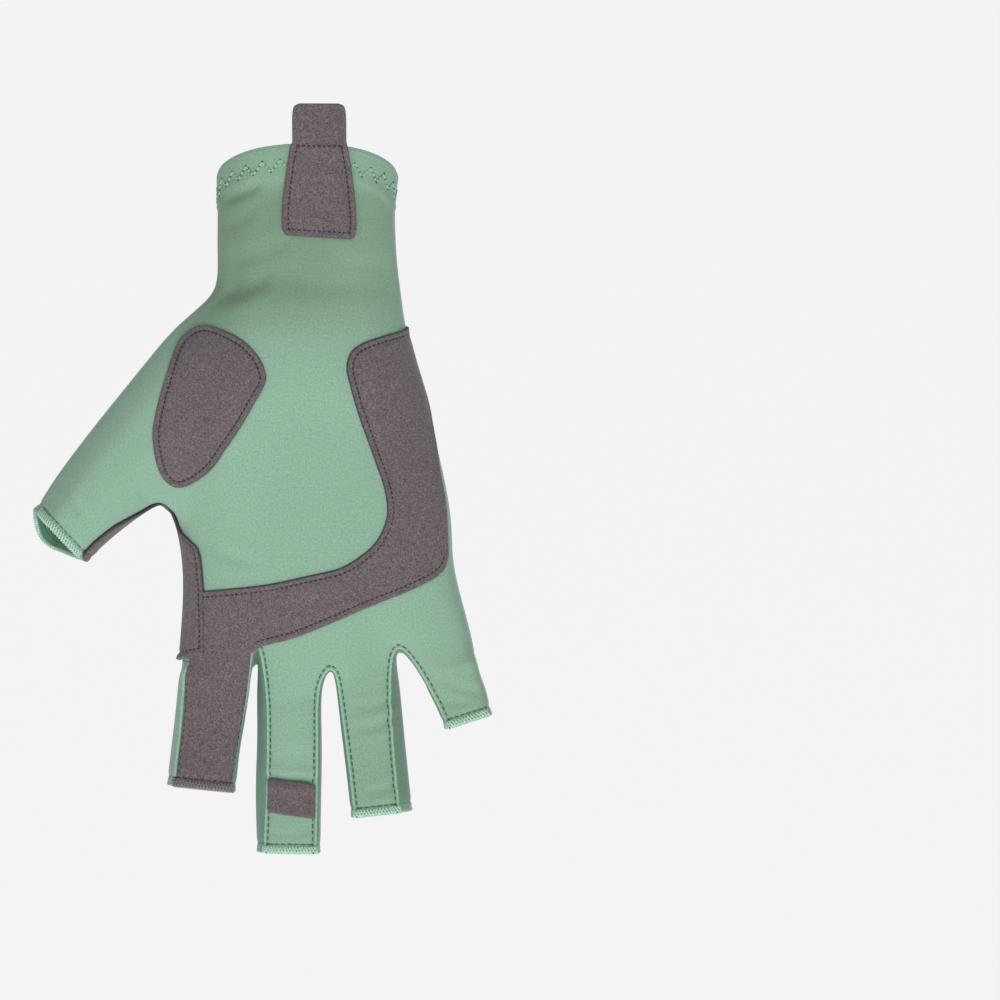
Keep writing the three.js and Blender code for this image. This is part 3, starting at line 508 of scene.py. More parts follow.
def side_strip(region, chain, panels, sewn):
    """A side of the net: palm edge, middle and back edge, with the outside to the right of its run."""
    for r in range(len(chain) - 1):
        for half in (0, 1):
            corners = [chain[r][half], chain[r][half + 1], chain[r + 1][half + 1], chain[r + 1][half]]
            places = [(r, half), (r, half + 1), (r + 1, half + 1), (r + 1, half)]
            panel = panels(r)[half]
            net_faces.append((corners, panel, region, places))
            if panel.endswith("_hem"):
                line = chain[r + 1] if r == 0 else chain[r]
                net_creases.add(frozenset((line[half], line[half + 1])))
            if sewn(r)[half]:
                edge = 2 * half
                net_creases.add(frozenset((chain[r][edge], chain[r + 1][edge])))


def finger_triple(index, row, side):
    return (
        finger_vertex(index, row, side, PALM),
        finger_side(index, row, side),
        finger_vertex(index, row, side, BACK),
    )


def body_triple(index, side):
    column = 0 if side < 0 else COLUMNS
    return body_vertex(index, column, PALM), side_vertex(index, side), body_vertex(index, column, BACK)


def thumb_triple(row, outer):
    column = 0 if outer else THUMB_COLUMNS
    return thumb_vertex(row, column, PALM), thumb_side(row, outer), thumb_vertex(row, column, BACK)


outer_chain = [body_triple(i, -1) for i in range(THUMB_FIRST + 1)]
outer_chain += [thumb_triple(j, True) for j in range(THUMB_LINES)]
side_strip(
    "outer side",
    outer_chain,
    lambda r: ("thumb_hem",) * 2 if r == len(outer_chain) - 2 else ("palm", "back"),
    lambda r: (False, False),
)

inner_chain = [thumb_triple(j, False) for j in reversed(range(THUMB_LINES))]
CROTCH_ROW = len(inner_chain)
inner_chain += [body_triple(i, -1) for i in range(THUMB_LAST, LAST + 1)]
WEB_END_ROW = len(inner_chain) - 1
inner_chain += [finger_triple(0, j, -1) for j in range(FINGER_LINES)]


def inner_panels(r):
    if r == 0:
        return ("thumb_hem",) * 2
    if r < WEB_END_ROW:
        return "palm", "back"  # they meet under the microsuede of the crotch
    return ("index_hem",) * 2 if r == len(inner_chain) - 2 else ("back",) * 2


side_strip(
    "inner side", inner_chain, inner_panels, lambda r: (r < CROTCH_ROW or r >= WEB_END_ROW, r < CROTCH_ROW)
)

for index, web in enumerate(WEBS):
    chain = [finger_triple(index, j, 1) for j in reversed(range(-1, FINGER_LINES))]
    chain += [finger_triple(index + 1, j, -1) for j in range(FINGER_LINES)]

    def web_panels(r):
        if r == 0:
            return (f"{FINGERS[index]['name']}_hem",) * 2
        if r == len(chain) - 2:
            return (f"{FINGERS[index + 1]['name']}_hem",) * 2
        return (f"fourchette_{web[0]}",) * 2

    side_strip(web[0], chain, web_panels, lambda r: (True, True))

little_chain = [finger_triple(len(FINGERS) - 1, j, 1) for j in reversed(range(FINGER_LINES))]
little_chain += [body_triple(i, 1) for i in reversed(range(LAST + 1))]
side_strip(
    "little side", little_chain, lambda r: ("little_hem",) * 2 if r == 0 else ("palm", "back"),
    lambda r: (False, False),
)

SKIN_LEVEL = 4
CELLS = 2**SKIN_LEVEL  # skin vertices along one edge of the net
net_points = np.array(net_points)
panel_names = sorted({face[1] for face in net_faces})
region_names = sorted({face[2] for face in net_faces})


def store(mesh, name, values, kind="FLOAT", domain="POINT", key="value"):
    """Keeps values on a mesh under a name."""
    mesh.attributes.new(name, kind, domain).data.foreach_set(key, values)


def read_out(items, key, width=1, kind=np.int32):
    """What each of a mesh's items says under a key."""
    data = np.empty(len(items) * width, kind)
    items.foreach_get(key, data)
    return data


def rounded_net(points, level):
    """The net, rounded by a subdivision surface, as a plain mesh."""
    mesh = bpy.data.meshes.new("net")
    mesh.from_pydata([tuple(p) for p in points], [], [face[0] for face in net_faces])
    places = mesh.uv_layers.new(name="place")
    places.data.foreach_set("uv", np.array([face[3] for face in net_faces], float).ravel())
    for name, column, names in (("panel", 1, panel_names), ("region", 2, region_names)):
        store(mesh, name, [names.index(face[column]) for face in net_faces], "INT", "FACE")
    edges = [frozenset(edge.vertices) for edge in mesh.edges]
    store(mesh, "crease_edge", [SEAM_CREASE if edge in net_creases else 0.0 for edge in edges], domain="EDGE")
    holder = add_object("net", mesh)
    modifier = holder.modifiers.new("round", "SUBSURF")
    modifier.levels = modifier.render_levels = level
    modifier.uv_smooth = "NONE"
    evaluated = holder.evaluated_get(bpy.context.evaluated_depsgraph_get())
    made = bpy.data.meshes.new_from_object(evaluated)
    bpy.data.objects.remove(holder)
    return made


def points_of(mesh):
    return read_out(mesh.vertices, "co", 3, np.float32).reshape(-1, 3).astype(float)


# The net is swelled until the rounded skin passes through the points that the sizes gave.
swelled = net_points.copy()
for _ in range(5):
    rounded = rounded_net(swelled, 1)
    swelled += net_points - points_of(rounded)[: len(net_points)]
    bpy.data.meshes.remove(rounded)
skin_mesh = rounded_net(swelled, SKIN_LEVEL)

skin = points_of(skin_mesh)
skin_quads = read_out(skin_mesh.loops, "vertex_index").reshape(-1, 4)
quad_places = read_out(skin_mesh.uv_layers["place"].data, "uv", 2, np.float32)
quad_places = np.rint(quad_places.reshape(-1, 4, 2) * CELLS).astype(int)
quad_panel = read_out(skin_mesh.attributes["panel"].data, "value")
quad_region = read_out(skin_mesh.attributes["region"].data, "value")


def normals_of(points, quads):
    """Smooth outward normals of a mesh of four-cornered faces."""
    a, b, c, d = (points[quads[:, i]] for i in range(4))
    across = np.cross(c - a, d - b)
    total = np.zeros_like(points)
    for i in range(4):
        np.add.at(total, quads[:, i], across)
    return unit(total)


def region_grid(name):
    """The skin's vertices in a region of the net, by row and column, CELLS to each of the net's faces."""
    mine = quad_region == region_names.index(name)
    places = quad_places[mine].reshape(-1, 2)
    grid = np.full(places.max(0) + 1, -1)
    grid[places[:, 0], places[:, 1]] = skin_quads[mine].ravel()
    return grid


grids = {name: region_grid(name) for name in region_names}

# The worn cloth's softer forms, in millimetres of the front view. Each swell is a middle, its reach along and
# across a direction in degrees from straight right, and its height on the palm's side. Each fold is a line
# from one end to the other, its half width, and its depth. A minus sign turns a swell to a hollow, or a fold
# to a ridge.

SWELLS = [
    ((0, -37), (34, 11), 0, -2.6),
    ((6, -64), (30, 16), 0, 1.6),
    ((-22, -36), (12, 6), 15, -2.0),
    ((12, -15), (24, 9), 0, -0.7),
    ((-38, -52), (13, 5), 48, -1.1),
    ((20, -95), (16, 24), 0, -0.5),
]
FOLDS = [
    ((-27, -31), (-6, -25.5), 2.4, 0.75),
    ((-29, -40), (-12, -36.5), 3.0, 0.9),
    ((-12, -36.5), (27, -38), 3.6, 0.45),
    ((-28, -11), (-14, -6.5), 1.7, 0.85),
    ((-27, -20), (-16, -15), 2.0, 0.35),
    ((8, -30), (28, -33), 2.4, 0.3),
    ((-34, -119), (-17, -128), 2.2, 0.45),
    ((-53, -103.5), (-49.5, -107), 1.2, 0.35),
    ((-79, -99), (-70, -113), 1.6, 0.3),
    ((14.5, -172), (28, -171), 1.5, 0.35),
    ((15.5, -179.5), (29, -176.5), 1.5, 0.45),
    ((18, -199.5), (30, -197), 1.4, 0.3),
    ((-10, -187), (3, -189), 2.2, 0.22),
    ((-11, -171), (2, -169), 2.4, 0.2),
    ((-13, -194.9), (3, -196.6), 1.3, 1.2),
    ((-10, -213), (3, -211.5), 1.3, 0.25),
    ((42, -163), (55, -169), 1.6, 0.35),
    ((44, -170), (52, -171.5), 1.3, 0.3),
    ((-45, -166), (-30, -168), 2.2, 0.25),
]
BACK_SWELLS = [
    ((-2, -30), (34, 14), 0, -1.2),
    ((8, -70), (34, 26), 0, 0.8),
    ((-36, -62), (16, 6), 48, -1.0),
]
BACK_FOLDS = [
    ((-24, -26), (-4, -30), 3.0, 0.5),
    ((2, -34), (26, -31), 3.0, 0.4),
    ((-46, -93), (-35, -104), 3.0, 0.7),
    ((-34, -146), (-20, -151), 2.2, 0.5),
    ((24, -148), (42, -143), 2.4, 0.45),
    ((-6, -151), (12, -149), 2.6, 0.3),
    ((12, -177), (27, -175), 2.0, 0.3),
    ((-10, -190), (3, -189), 2.2, 0.25),
    ((-44, -178), (-30, -180), 2.2, 0.25),
]


def smooth_step(share):
    share = np.clip(share, 0, 1)
    return share * share * (3 - 2 * share)


def worn_height(points, swells, folds):
    """How far the worn cloth stands off its plain form at some points, by the tables above."""
    x, z = points[:, 0], points[:, 2]
    height = np.zeros(len(points))
    for (cx, cz), (along, across), angle, rise in swells:
        turn = math.radians(angle)
        u = (x - cx) * math.cos(turn) + (z - cz) * math.sin(turn)
        v = (z - cz) * math.cos(turn) - (x - cx) * math.sin(turn)
        height += rise * np.exp(-((u / along) ** 2) - (v / across) ** 2)
    for (ax, az), (bx, bz), half, depth in folds:
        length = math.hypot(bx - ax, bz - az)
        u = ((x - ax) * (bx - ax) + (z - az) * (bz - az)) / length
        v = ((z - az) * (bx - ax) - (x - ax) * (bz - az)) / length
        v = v + 0.6 * np.sin(u / length * 4.2)
        fade = smooth_step(u / (0.35 * length) + 0.35) * smooth_step((length - u) / (0.35 * length) + 0.35)
        valley = np.exp(-((v / half) ** 2)) - 0.45 * np.exp(-(((np.abs(v) - 1.9 * half) / half) ** 2))
        height -= depth * fade * valley
    return height


net_normals = normals_of(skin, skin_quads)
facing = np.clip(np.abs(net_normals[:, 1]) * 1.6, 0, 1)
on_palm_face = smooth_step(0.5 - net_normals[:, 1] * 1.5)
worn = lerp(worn_height(skin, BACK_SWELLS, BACK_FOLDS), worn_height(skin, SWELLS, FOLDS), on_palm_face)
skin += net_normals * (facing * worn)[:, None]

# Where the cloth is sewn, it is drawn in to a narrow valley.

SEAM_VALLEY = 0.55  # depth
SEAM_REACH = 1.1  # half width
HEM_VALLEY = 0.25
HEM_REACH = 0.8
CUFF_STEP = 0.45
CUFF_VALLEY = 0.3


def edges_between(test):
    """Pairs of skin vertices on the borders between panels for which the test of the two names is true."""
    owner = {}
    found = []
    for corners, panel in zip(skin_quads.tolist(), quad_panel.tolist()):
        for i in range(4):
            a, b = corners[i], corners[(i + 1) % 4]
            key = (a, b) if a < b else (b, a)
            other = owner.setdefault(key, panel)
            if other != panel and test(panel_names[other], panel_names[panel]):
                found.append((a, b))
    return np.array(found)


def nearest_distance(points, targets):
    """Each point's distance from the nearest target."""
    tree = KDTree(len(targets))
    for i, target in enumerate(targets):
        tree.insert(target, i)
    tree.balance()
    return np.array([tree.find(point)[2] for point in points])


def distance_to(pairs):
    """Each skin vertex's distance from a set of edges."""
    a, b = skin[pairs[:, 0]], skin[pairs[:, 1]]
    return nearest_distance(skin, np.concatenate([lerp(a, b, t) for t in (0, 0.25, 0.5, 0.75)]))


def is_hem(name):
    return name.endswith("_hem")


# Only borders between two different cloths are sewn in: the palm and back run into each other at the sides.
seam_pairs = edges_between(lambda a, b: not is_hem(a) and not is_hem(b) and {a, b} != {"palm", "back"})
index_seam = grids["inner side"][WEB_END_ROW * CELLS :, 0]
seam_pairs = np.concatenate([seam_pairs, np.stack([index_seam[:-1], index_seam[1:]], axis=1)])
seam_distance = distance_to(seam_pairs)
hem_distance = distance_to(edges_between(lambda a, b: is_hem(a) != is_hem(b)))
skin_normals = normals_of(skin, skin_quads)
dip = SEAM_VALLEY * bell(seam_distance, SEAM_REACH) + HEM_VALLEY * bell(hem_distance, HEM_REACH)

# The cuff is double down to the hem's end, and is drawn in along its zigzag.
cuff_grids = [grids["palm body"], grids["back body"], grids["outer side"], grids["little side"][::-1]]
near_cuff = np.unique(np.concatenate([grid[: 3 * CELLS].ravel() for grid in cuff_grids]))
from_rim = np.full(len(skin), 99.0)
rim = np.concatenate([grid[0] for grid in cuff_grids])
from_rim[near_cuff] = nearest_distance(skin[near_cuff], skin[rim])
dip -= CUFF_STEP * (1 - smooth_step((from_rim - CUFF_HEM - 0.5) / 1.4))
dip += CUFF_VALLEY * bell(from_rim - 6.4, 2.6)
skin -= skin_normals * dip[:, None]
skin_normals = normals_of(skin, skin_quads)

# Stretch fabric: a smooth mint-green knit of nylon and elastane. Its fine loops catch a soft sheen, and
# painted shade makes it a little darker and bluer in the seams.


def mixed(tree, share, first, second, blend="MIX"):
    """A colour between two, by a share, or with MULTIPLY the first times the second."""
    settings = {"data_type": "RGBA", "blend_type": blend}
    return node(tree, "ShaderNodeMix", settings, _0=share, _6=first, _7=second).outputs[2]


def reckoned(tree, operation, *values):
    values = {f"_{i}": value for i, value in enumerate(values)}
    return node(tree, "ShaderNodeMath", {"operation": operation}, **values).outputs[0]


def noise(tree, place, scale, detail, roughness=0.5):
    made = node(tree, "ShaderNodeTexNoise", Vector=place, Scale=scale, Detail=detail, Roughness=roughness)
    return made.outputs["Fac"]


def stretched(tree, share, low, high):
    """A noise's usual span, brought to run from low to high."""
    span = dict(From_Min=0.3, From_Max=0.7, To_Min=low, To_Max=high)
    return node(tree, "ShaderNodeMapRange", Value=share, **span).outputs[0]


def share_of(tree, name):
    """A share that a piece keeps under a name."""
    return node(tree, "ShaderNodeAttribute", {"attribute_name": name}).outputs["Fac"]


def cloth_shader(tree, colour, relief, **finish):
    """Ends a cloth's tree. relief is the bump's strength, depth and height."""
    strength, depth, height = relief
    bump = node(tree, "ShaderNodeBump", Strength=strength, Distance=depth, Height=height)
    shader = node(
        tree, "ShaderNodeBsdfPrincipled", Base_Color=colour, Normal=bump.outputs["Normal"], **finish
    )
    node(tree, "ShaderNodeOutputMaterial", Surface=shader.outputs[0])


def knit_material(name, colour, shade, seam_shade_colour):
    made, tree = new_material(name)
    cloth = node(tree, "ShaderNodeUVMap", {"uv_map": "cloth_mm"}).outputs[0]
    place = node(tree, "ShaderNodeTexCoord").outputs["Object"]
    # Knit ribs 0.9 mm apart, coarser than the real 0.3 mm so that they still show.
    shapes = {"X": dict(Scale=0.35, Distortion=0.6), "Y": dict(Scale=0.42, Distortion=0.8)}
    ribs, loops = (
        node(tree, "ShaderNodeTexWave", {"bands_direction": way}, Vector=cloth, Detail=1.0, **shape)
        for way, shape in shapes.items()
    )
    grain = noise(tree, cloth, 1.4, 3.0, 0.6)
    tone = mixed(tree, noise(tree, place, 22.0, 2.0), linear(shade), linear(colour))
    flecked = mixed(tree, 1.0, tone, stretched(tree, grain, 0.85, 1.13), "MULTIPLY")
    # Painted shade: darker and yellower by the share that each piece keeps for it, most over the wrist.
    closed = mixed(tree, share_of(tree, "painted_shade"), flecked, (0.72, 0.7, 0.63, 1), "MULTIPLY")
    # Painted shade in the seams, and the band's painted shadow.
    seam_shaded = mixed(tree, share_of(tree, "painted_seam_and_band_shade"), closed, linear(seam_shade_colour))
    weave = reckoned(tree, "MULTIPLY", ribs.outputs["Fac"], loops.outputs["Fac"])
    height = reckoned(tree, "ADD", weave, grain)
    cloth_shader(
        tree, seam_shaded, (0.35, 0.0001, height), Roughness=0.78, Sheen_Weight=0.25, Sheen_Roughness=0.4,
        Specular_IOR_Level=0.25,
    )
    return made


mint_knit = knit_material("mint_stretch_knit", "93b6a0", "8aad97", "638c72")
# The finger sides: a darker copy of the mint knit, painted shade for their turn away from the light.
shaded_gusset_knit = knit_material("painted_shade_gusset_knit", "799e88", "719580", "507660")
# The seam rolls: a lighter copy of the mint knit, a painted highlight for the light that the raised roll
# catches.
lit_rolled_knit = knit_material("painted_highlight_rolled_knit", "9fc5ad", "95bba3", "76a087")

# The knit's inner face: a darker copy of the mint knit, painted shade for the dark inside of the glove.
shaded_inner_knit = knit_material("painted_shade_inner_knit", "567f69", "4d7560", "3e5f4d")

# Weave coordinates: how far a place of the cloth is across and along its region, in millimetres.
cloth_place = np.zeros((len(skin_quads), 4, 2))
for name, grid in grids.items():
    points = skin[grid]
    middle = grid.shape[1] // 2
    across = np.array([run_along(row) for row in points])
    across -= across[:, [middle]]
    run = run_along(points[:, middle])
    mine = quad_region == region_names.index(name)
    rows, columns = quad_places[mine][..., 0], quad_places[mine][..., 1]
    cloth_place[mine] = np.stack([across[rows, columns], run[rows]], axis=-1)


def piece_of(name, quads, points, material, places=None, shades=None):
    """A piece of cloth from some quads of a surface, in metres, with its weave and shade attributes."""
    used, corners = np.unique(quads, return_inverse=True)
    mesh = bpy.data.meshes.new(name)
    mesh.from_pydata((points[used] * MM).tolist(), [], corners.reshape(quads.shape).tolist())
    if places is not None:
        layer = mesh.uv_layers.new(name="cloth_mm")
        layer.data.foreach_set("uv", places.reshape(-1))
    for key, values in (shades or {}).items():
        store(mesh, key, values[used])
    mesh.materials.append(material)
    mesh.shade_smooth()
    return add_object(name, mesh)


def thicken(piece, wall, inside=None):
    """Gives a piece its thickness, inwards from its outer face, and another finish inside if there is one."""
    modifier = piece.modifiers.new("wall", "SOLIDIFY")
    modifier.thickness = wall * MM
    modifier.offset = -1
    if inside:
        piece.data.materials.append(inside)
        modifier.material_offset = 1
    return piece


def seat(piece, slot, *nodes):
    """A finished piece goes with the glove, and may stand for CAD nodes, which are hidden. Its slot is not
    used.
    """
    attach(piece, "root")
    if nodes:
        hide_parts(*nodes)


WALL = 1.2
WRIST_SHADE_TO, WRIST_SHADE_FROM = -32, -61  # the palm side's wrist, and how far its painted shade reaches into the palm
# Painted shade on the palm side: strongest across the wrist and towards the thumb, weaker at the rim, with a
# little on the lower right fingers.
painted_shade_share = smooth_step((skin[:, 2] - WRIST_SHADE_FROM) / (WRIST_SHADE_TO - WRIST_SHADE_FROM)) * (
    0.84 - skin[:, 0] / 28 * 0.4 + 0.2 * bell(skin[:, 0], 12)
)
painted_shade_share *= 1 - 0.7 * smooth_step((skin[:, 2] + 13) / 9)
painted_shade_share += 0.26 * smooth_step((skin[:, 0] - 8) / 12) * smooth_step((-150 - skin[:, 2]) / 14)
painted_shade_share *= smooth_step(0.6 - skin_normals[:, 1] * 1.2)
# Painted shadow of the band across the middle finger, on the cloth just above it, where the band keeps the
# light off.
band_way = (skin[:, 0] + 12.4) / 14.2
band_painted_shadow = bell(skin[:, 2] + 195.5 + 1.5 * band_way, 0.9) * (skin_normals[:, 1] < -0.3)
band_painted_shadow *= smooth_step(band_way / 0.2) * smooth_step((1 - band_way) / 0.1)
# Painted shade: in the seams with the band's shadow, and over the wrist.
shades = {
    "painted_seam_and_band_shade": np.maximum(0.75 * bell(seam_distance, 0.55), band_painted_shadow),
    "painted_shade": np.clip(painted_shade_share, 0, 1),
}

for panel, node_name, slot, material in (
    ("palm", "palm_panel", "stretch_fabric", mint_knit),
    ("back", "back_panel", "stretch_fabric", mint_knit),
    *((f"fourchette_{web[0]}", f"fourchette_{web[0]}", "fourchette_fabric", shaded_gusset_knit) for web in WEBS),
):
    mine = quad_panel == panel_names.index(panel)
    piece = piece_of(f"{node_name}_cloth", skin_quads[mine], skin, material, cloth_place[mine], shades)
    seat(thicken(piece, WALL, shaded_inner_knit), slot, node_name)

# Stitches: short straight runs of thread, laid one after another along a path on the cloth. Each dips into
# its needle hole at both ends, so it is drawn as a plump oval, pressed into the cloth.

skin_tree = BVHTree.FromPolygons(skin.tolist(), skin_quads.tolist())


def quad_weights(points, face, place):
    """How much each corner of a quad counts at a place on it."""
    weights = np.array(poly_3d_calc([Vector(points[v]) for v in skin_quads[face]], Vector(place)))
    return weights / max(weights.sum(), 1e-9)


def snap(place):
    """The nearest point of the skin to a place, and the skin's normal there."""
    spot, _, face, _ = skin_tree.find_nearest(Vector(place))
    return np.array(spot), unit(quad_weights(skin, face, spot) @ skin_normals[skin_quads[face]])


def raised(pairs, height):
    """Points moved along their normals, from pairs of a point and its normal, and those normals."""
    points, normals = (np.array(values) for values in zip(*pairs))
    return points + normals * height, normals


def laid_on_skin(places, height):
    """A path through some places, moved to a height above the skin. Gives its points and their normals."""
    return raised([snap(place) for place in places], height)


def tangents_of(points, closed):
    if closed:
        return unit(np.roll(points, -1, axis=0) - np.roll(points, 1, axis=0))
    return unit(np.gradient(points, axis=0))


def group_input(tree, name, kind, value):
    """A named input of a node group, with its value at first. Gives its identifier."""
    made = tree.interface.new_socket(name=name, in_out="INPUT", socket_type=kind)
    if value is not None:
        made.default_value = value
    return made.identifier


def build_stitches():
    """A node group that lays a small mesh again and again along a path, each turned to the path and cloth."""
    tree = bpy.data.node_groups.new("stitches", "GeometryNodeTree")
    ids = {"Path": group_input(tree, "Path", "NodeSocketGeometry", None)}
    for name, kind, value in (
        ("Pitch", "NodeSocketFloat", 0.002),
        ("Stitch", "NodeSocketObject", None),
        ("Turn", "NodeSocketFloat", 0.0),
        ("Unevenness", "NodeSocketFloat", 0.08),
        ("Thread", "NodeSocketMaterial", None),
        ("Seed", "NodeSocketInt", 7),
    ):
        ids[name] = group_input(tree, name, kind, value)
    tree.interface.new_socket(name="Stitches", in_out="OUTPUT", socket_type="NodeSocketGeometry")
    given = node(tree, "NodeGroupInput").outputs
    curve = node(tree, "GeometryNodeMeshToCurve", Mesh=given["Path"])
    spaced = node(
        tree, "GeometryNodeResampleCurve", {"mode": "LENGTH"}, Curve=curve.outputs[0], Length=given["Pitch"]
    )
    tangent = node(tree, "GeometryNodeInputTangent")
    up = node(tree, "GeometryNodeInputNamedAttribute", {"data_type": "FLOAT_VECTOR"}, Name="up")
    along = node(tree, "FunctionNodeAlignRotationToVector", {"axis": "X"}, Vector=tangent.outputs[0])
    upright = node(
        tree, "FunctionNodeAlignRotationToVector", {"axis": "Z", "pivot_axis": "X"},
        Rotation=along.outputs[0], Vector=up.outputs[0],
    )
    spread = node(
        tree, "FunctionNodeRandomValue", {"data_type": "FLOAT"}, _2=-1.0, _3=1.0, Seed=given["Seed"]
    )
    sway, size = (
        reckoned(tree, "MULTIPLY_ADD", spread.outputs[1], given["Unevenness"], base)
        for base in (given["Turn"], 1.0)
    )
    swing = node(tree, "ShaderNodeCombineXYZ", Z=sway)
    turned = node(
        tree, "FunctionNodeRotateRotation", {"rotation_space": "LOCAL"},
        Rotation=upright.outputs[0], Rotate_By=swing.outputs[0],
    )
    stitch = node(tree, "GeometryNodeObjectInfo", Object=given["Stitch"])
    placed = node(
        tree, "GeometryNodeInstanceOnPoints", Points=spaced.outputs[0], Instance=stitch.outputs["Geometry"],
        Rotation=turned.outputs[0], Scale=size,
    )
    solid = node(tree, "GeometryNodeRealizeInstances", Geometry=placed.outputs[0])
    coloured = node(tree, "GeometryNodeSetMaterial", Geometry=solid.outputs[0], Material=given["Thread"])
    smooth = node(tree, "GeometryNodeSetShadeSmooth", Geometry=coloured.outputs[0])
    node(tree, "NodeGroupOutput", _0=smooth.outputs[0])
    return tree, ids


stitches_tree, stitches_ids = build_stitches()


def path_mesh(name, paths):
    """Some paths as one mesh of edges. Each is its points, their normals, and whether it is closed."""
    points, normals, edges = [], [], []
    for path, ups, closed in paths:
        first = len(points)
        points += (path * MM).tolist()
        normals += ups.tolist()
        edges += [(first + i, first + i + 1) for i in range(len(path) - 1)]
        if closed:
            edges.append((first + len(path) - 1, first))
    mesh = bpy.data.meshes.new(name)
    mesh.from_pydata(points, edges, [])
    store(mesh, "up", np.array(normals).ravel(), "FLOAT_VECTOR", key="vector")
    return mesh


def sewn(name, paths, stitch, pitch, thread, turn=0.0, unevenness=0.08, seed=7):
    """Stitches along some paths, as one plain mesh."""
    holder = add_object(name, path_mesh(name, paths))
    modifier = holder.modifiers.new("stitches", "NODES")
    modifier.node_group = stitches_tree
    given = dict(Pitch=pitch * MM, Stitch=stitch, Turn=turn, Unevenness=unevenness, Thread=thread, Seed=seed)
    for key, value in given.items():
        modifier[stitches_ids[key]] = value
    evaluated = holder.evaluated_get(bpy.context.evaluated_depsgraph_get())
    made = bpy.data.meshes.new_from_object(evaluated)
    holder.modifiers.clear()
    holder.data = made
    return holder


def loose_object(name, points, faces):
    """A small mesh to lay as a stitch, in millimetres. It isn't part of the picture itself."""
    mesh = bpy.data.meshes.new(name)
    mesh.from_pydata((np.array(points) * MM).tolist(), [], faces)
    return bpy.data.objects.new(name, mesh)


def oval(name, length, width, height, sides=8, rings=6):
    """A small oval, long in X."""
    points = [(-length / 2, 0, 0)]
    around = 2 * math.pi * np.arange(sides) / sides
    for turn in math.pi * np.arange(1, rings) / rings:
        x, across = -math.cos(turn) * length / 2, math.sin(turn) ** 0.6
        points += [(x, across * width / 2 * math.cos(s), across * height / 2 * math.sin(s)) for s in around]
    points.append((length / 2, 0, 0))
    faces = [(0, 1 + (s + 1) % sides, 1 + s) for s in range(sides)]
    for a in range(1, 1 + (rings - 2) * sides, sides):
        b = a + sides
        faces += [(a + s, a + (s + 1) % sides, b + (s + 1) % sides, b + s) for s in range(sides)]
    last = 1 + (rings - 2) * sides
    faces += [(len(points) - 1, last + s, last + (s + 1) % sides) for s in range(sides)]
    return loose_object(name, points, faces)


def thread_material(name, colour, dark):
    """Spun polyester thread: a faint gloss, and a twist that darkens it in fine diagonal lines."""
    made, tree = new_material(name)
    place = node(tree, "ShaderNodeTexCoord").outputs["Object"]
    twist = node(
        tree, "ShaderNodeTexWave", {"bands_direction": "DIAGONAL"}, Vector=place, Scale=900.0, Distortion=1.5
    )
    tone = mixed(tree, twist.outputs["Fac"], linear(dark), linear(colour))
    shader = node(tree, "ShaderNodeBsdfPrincipled", Base_Color=tone, Roughness=0.55, Sheen_Weight=0.3)
    node(tree, "ShaderNodeOutputMaterial", Surface=shader.outputs[0])
    return made


green_thread = thread_material("dark_green_thread", "37684e", "28523d")
navy_thread = thread_material("navy_thread", "201f2d", "141320")
pale_thread = thread_material("pale_mint_thread", "c2e2cf", "93bda4")
mint_thread = thread_material("mint_thread", "a9d2ba", "7fae95")
suede_thread = thread_material("grey_brown_thread", "8d8385", "5b5256")

# The openings of the thumb and fingers: the raw end of each tube is overlocked with pale thread, whose loops
# lie slanted over the last 2.5 mm and wrap round the end, below one line of dark green stitches.

boundary = {}
for corners, panel in zip(skin_quads.tolist(), quad_panel.tolist()):
    for i in range(4):
        a, b = corners[i], corners[(i + 1) % 4]
        if (b, a) in boundary:
            del boundary[(b, a)]
        else:
            boundary[(a, b)] = (panel, corners[(i + 3) % 4], corners[(i + 2) % 4])


def edge_loop(test):
    """A loop of boundary vertices next to panels that pass a test, with the way into the cloth at each."""
    mine = {a: (b, inner) for (a, b), (panel, inner, _) in boundary.items() if test(panel_names[panel])}
    start = at = min(mine)
    loop = []
    while not loop or at != start:
        loop.append(at)
        at = mine[at][0]
    inward = np.array([skin[mine[v][1]] - skin[v] for v in loop])
    inward /= np.linalg.norm(inward, axis=1, keepdims=True)
    return np.array(loop), inward


def tube_rings(points, first, second, radius, sides):
    """Rings of points round a line, by two directions across it."""
    turns = np.linspace(0, 2 * math.pi, sides, endpoint=False)[:, None]
    around = first[:, None] * np.cos(turns) + second[:, None] * np.sin(turns)
    return (points[:, None] + np.reshape(radius, (-1, 1, 1)) * around).reshape(-1, 3)


def grid_quads(rows, columns, joined_rows=False, joined_columns=True):
    """The faces of a grid of points, whose last row or column may be joined to its first."""
    r, c = (places.ravel() for places in np.mgrid[: rows - 1 + joined_rows, : columns - 1 + joined_columns])
    below, beside = (r + 1) % rows, (c + 1) % columns
    corners = (r * columns + c, below * columns + c, below * columns + beside, r * columns + beside)
    return np.stack(corners, axis=1)


def capped_tube(rings, sides):
    """The faces of a tube of rings, with both its ends closed."""
    count = len(rings)
    caps = [list(range(sides)), list(range(count - 1, count - 1 - sides, -1))]
    return grid_quads(count // sides, sides).tolist() + caps


def bent_loop(name, path, radius, sides=6):
    """A small bent thread to lay as a stitch, through some points."""
    path = np.array(path, float)
    points = at_ways(np.linspace(0, len(path) - 1, 9), range(len(path)), path)[0]
    points[1:-1] = (points[:-2] + 2 * points[1:-1] + points[2:]) / 4
    along = tangents_of(points, False)
    out = unit(np.cross(along, (1, 0, 0.2)))
    rings = tube_rings(points, out, np.cross(along, out), radius, sides)
    return loose_object(name, rings, capped_tube(rings, sides))


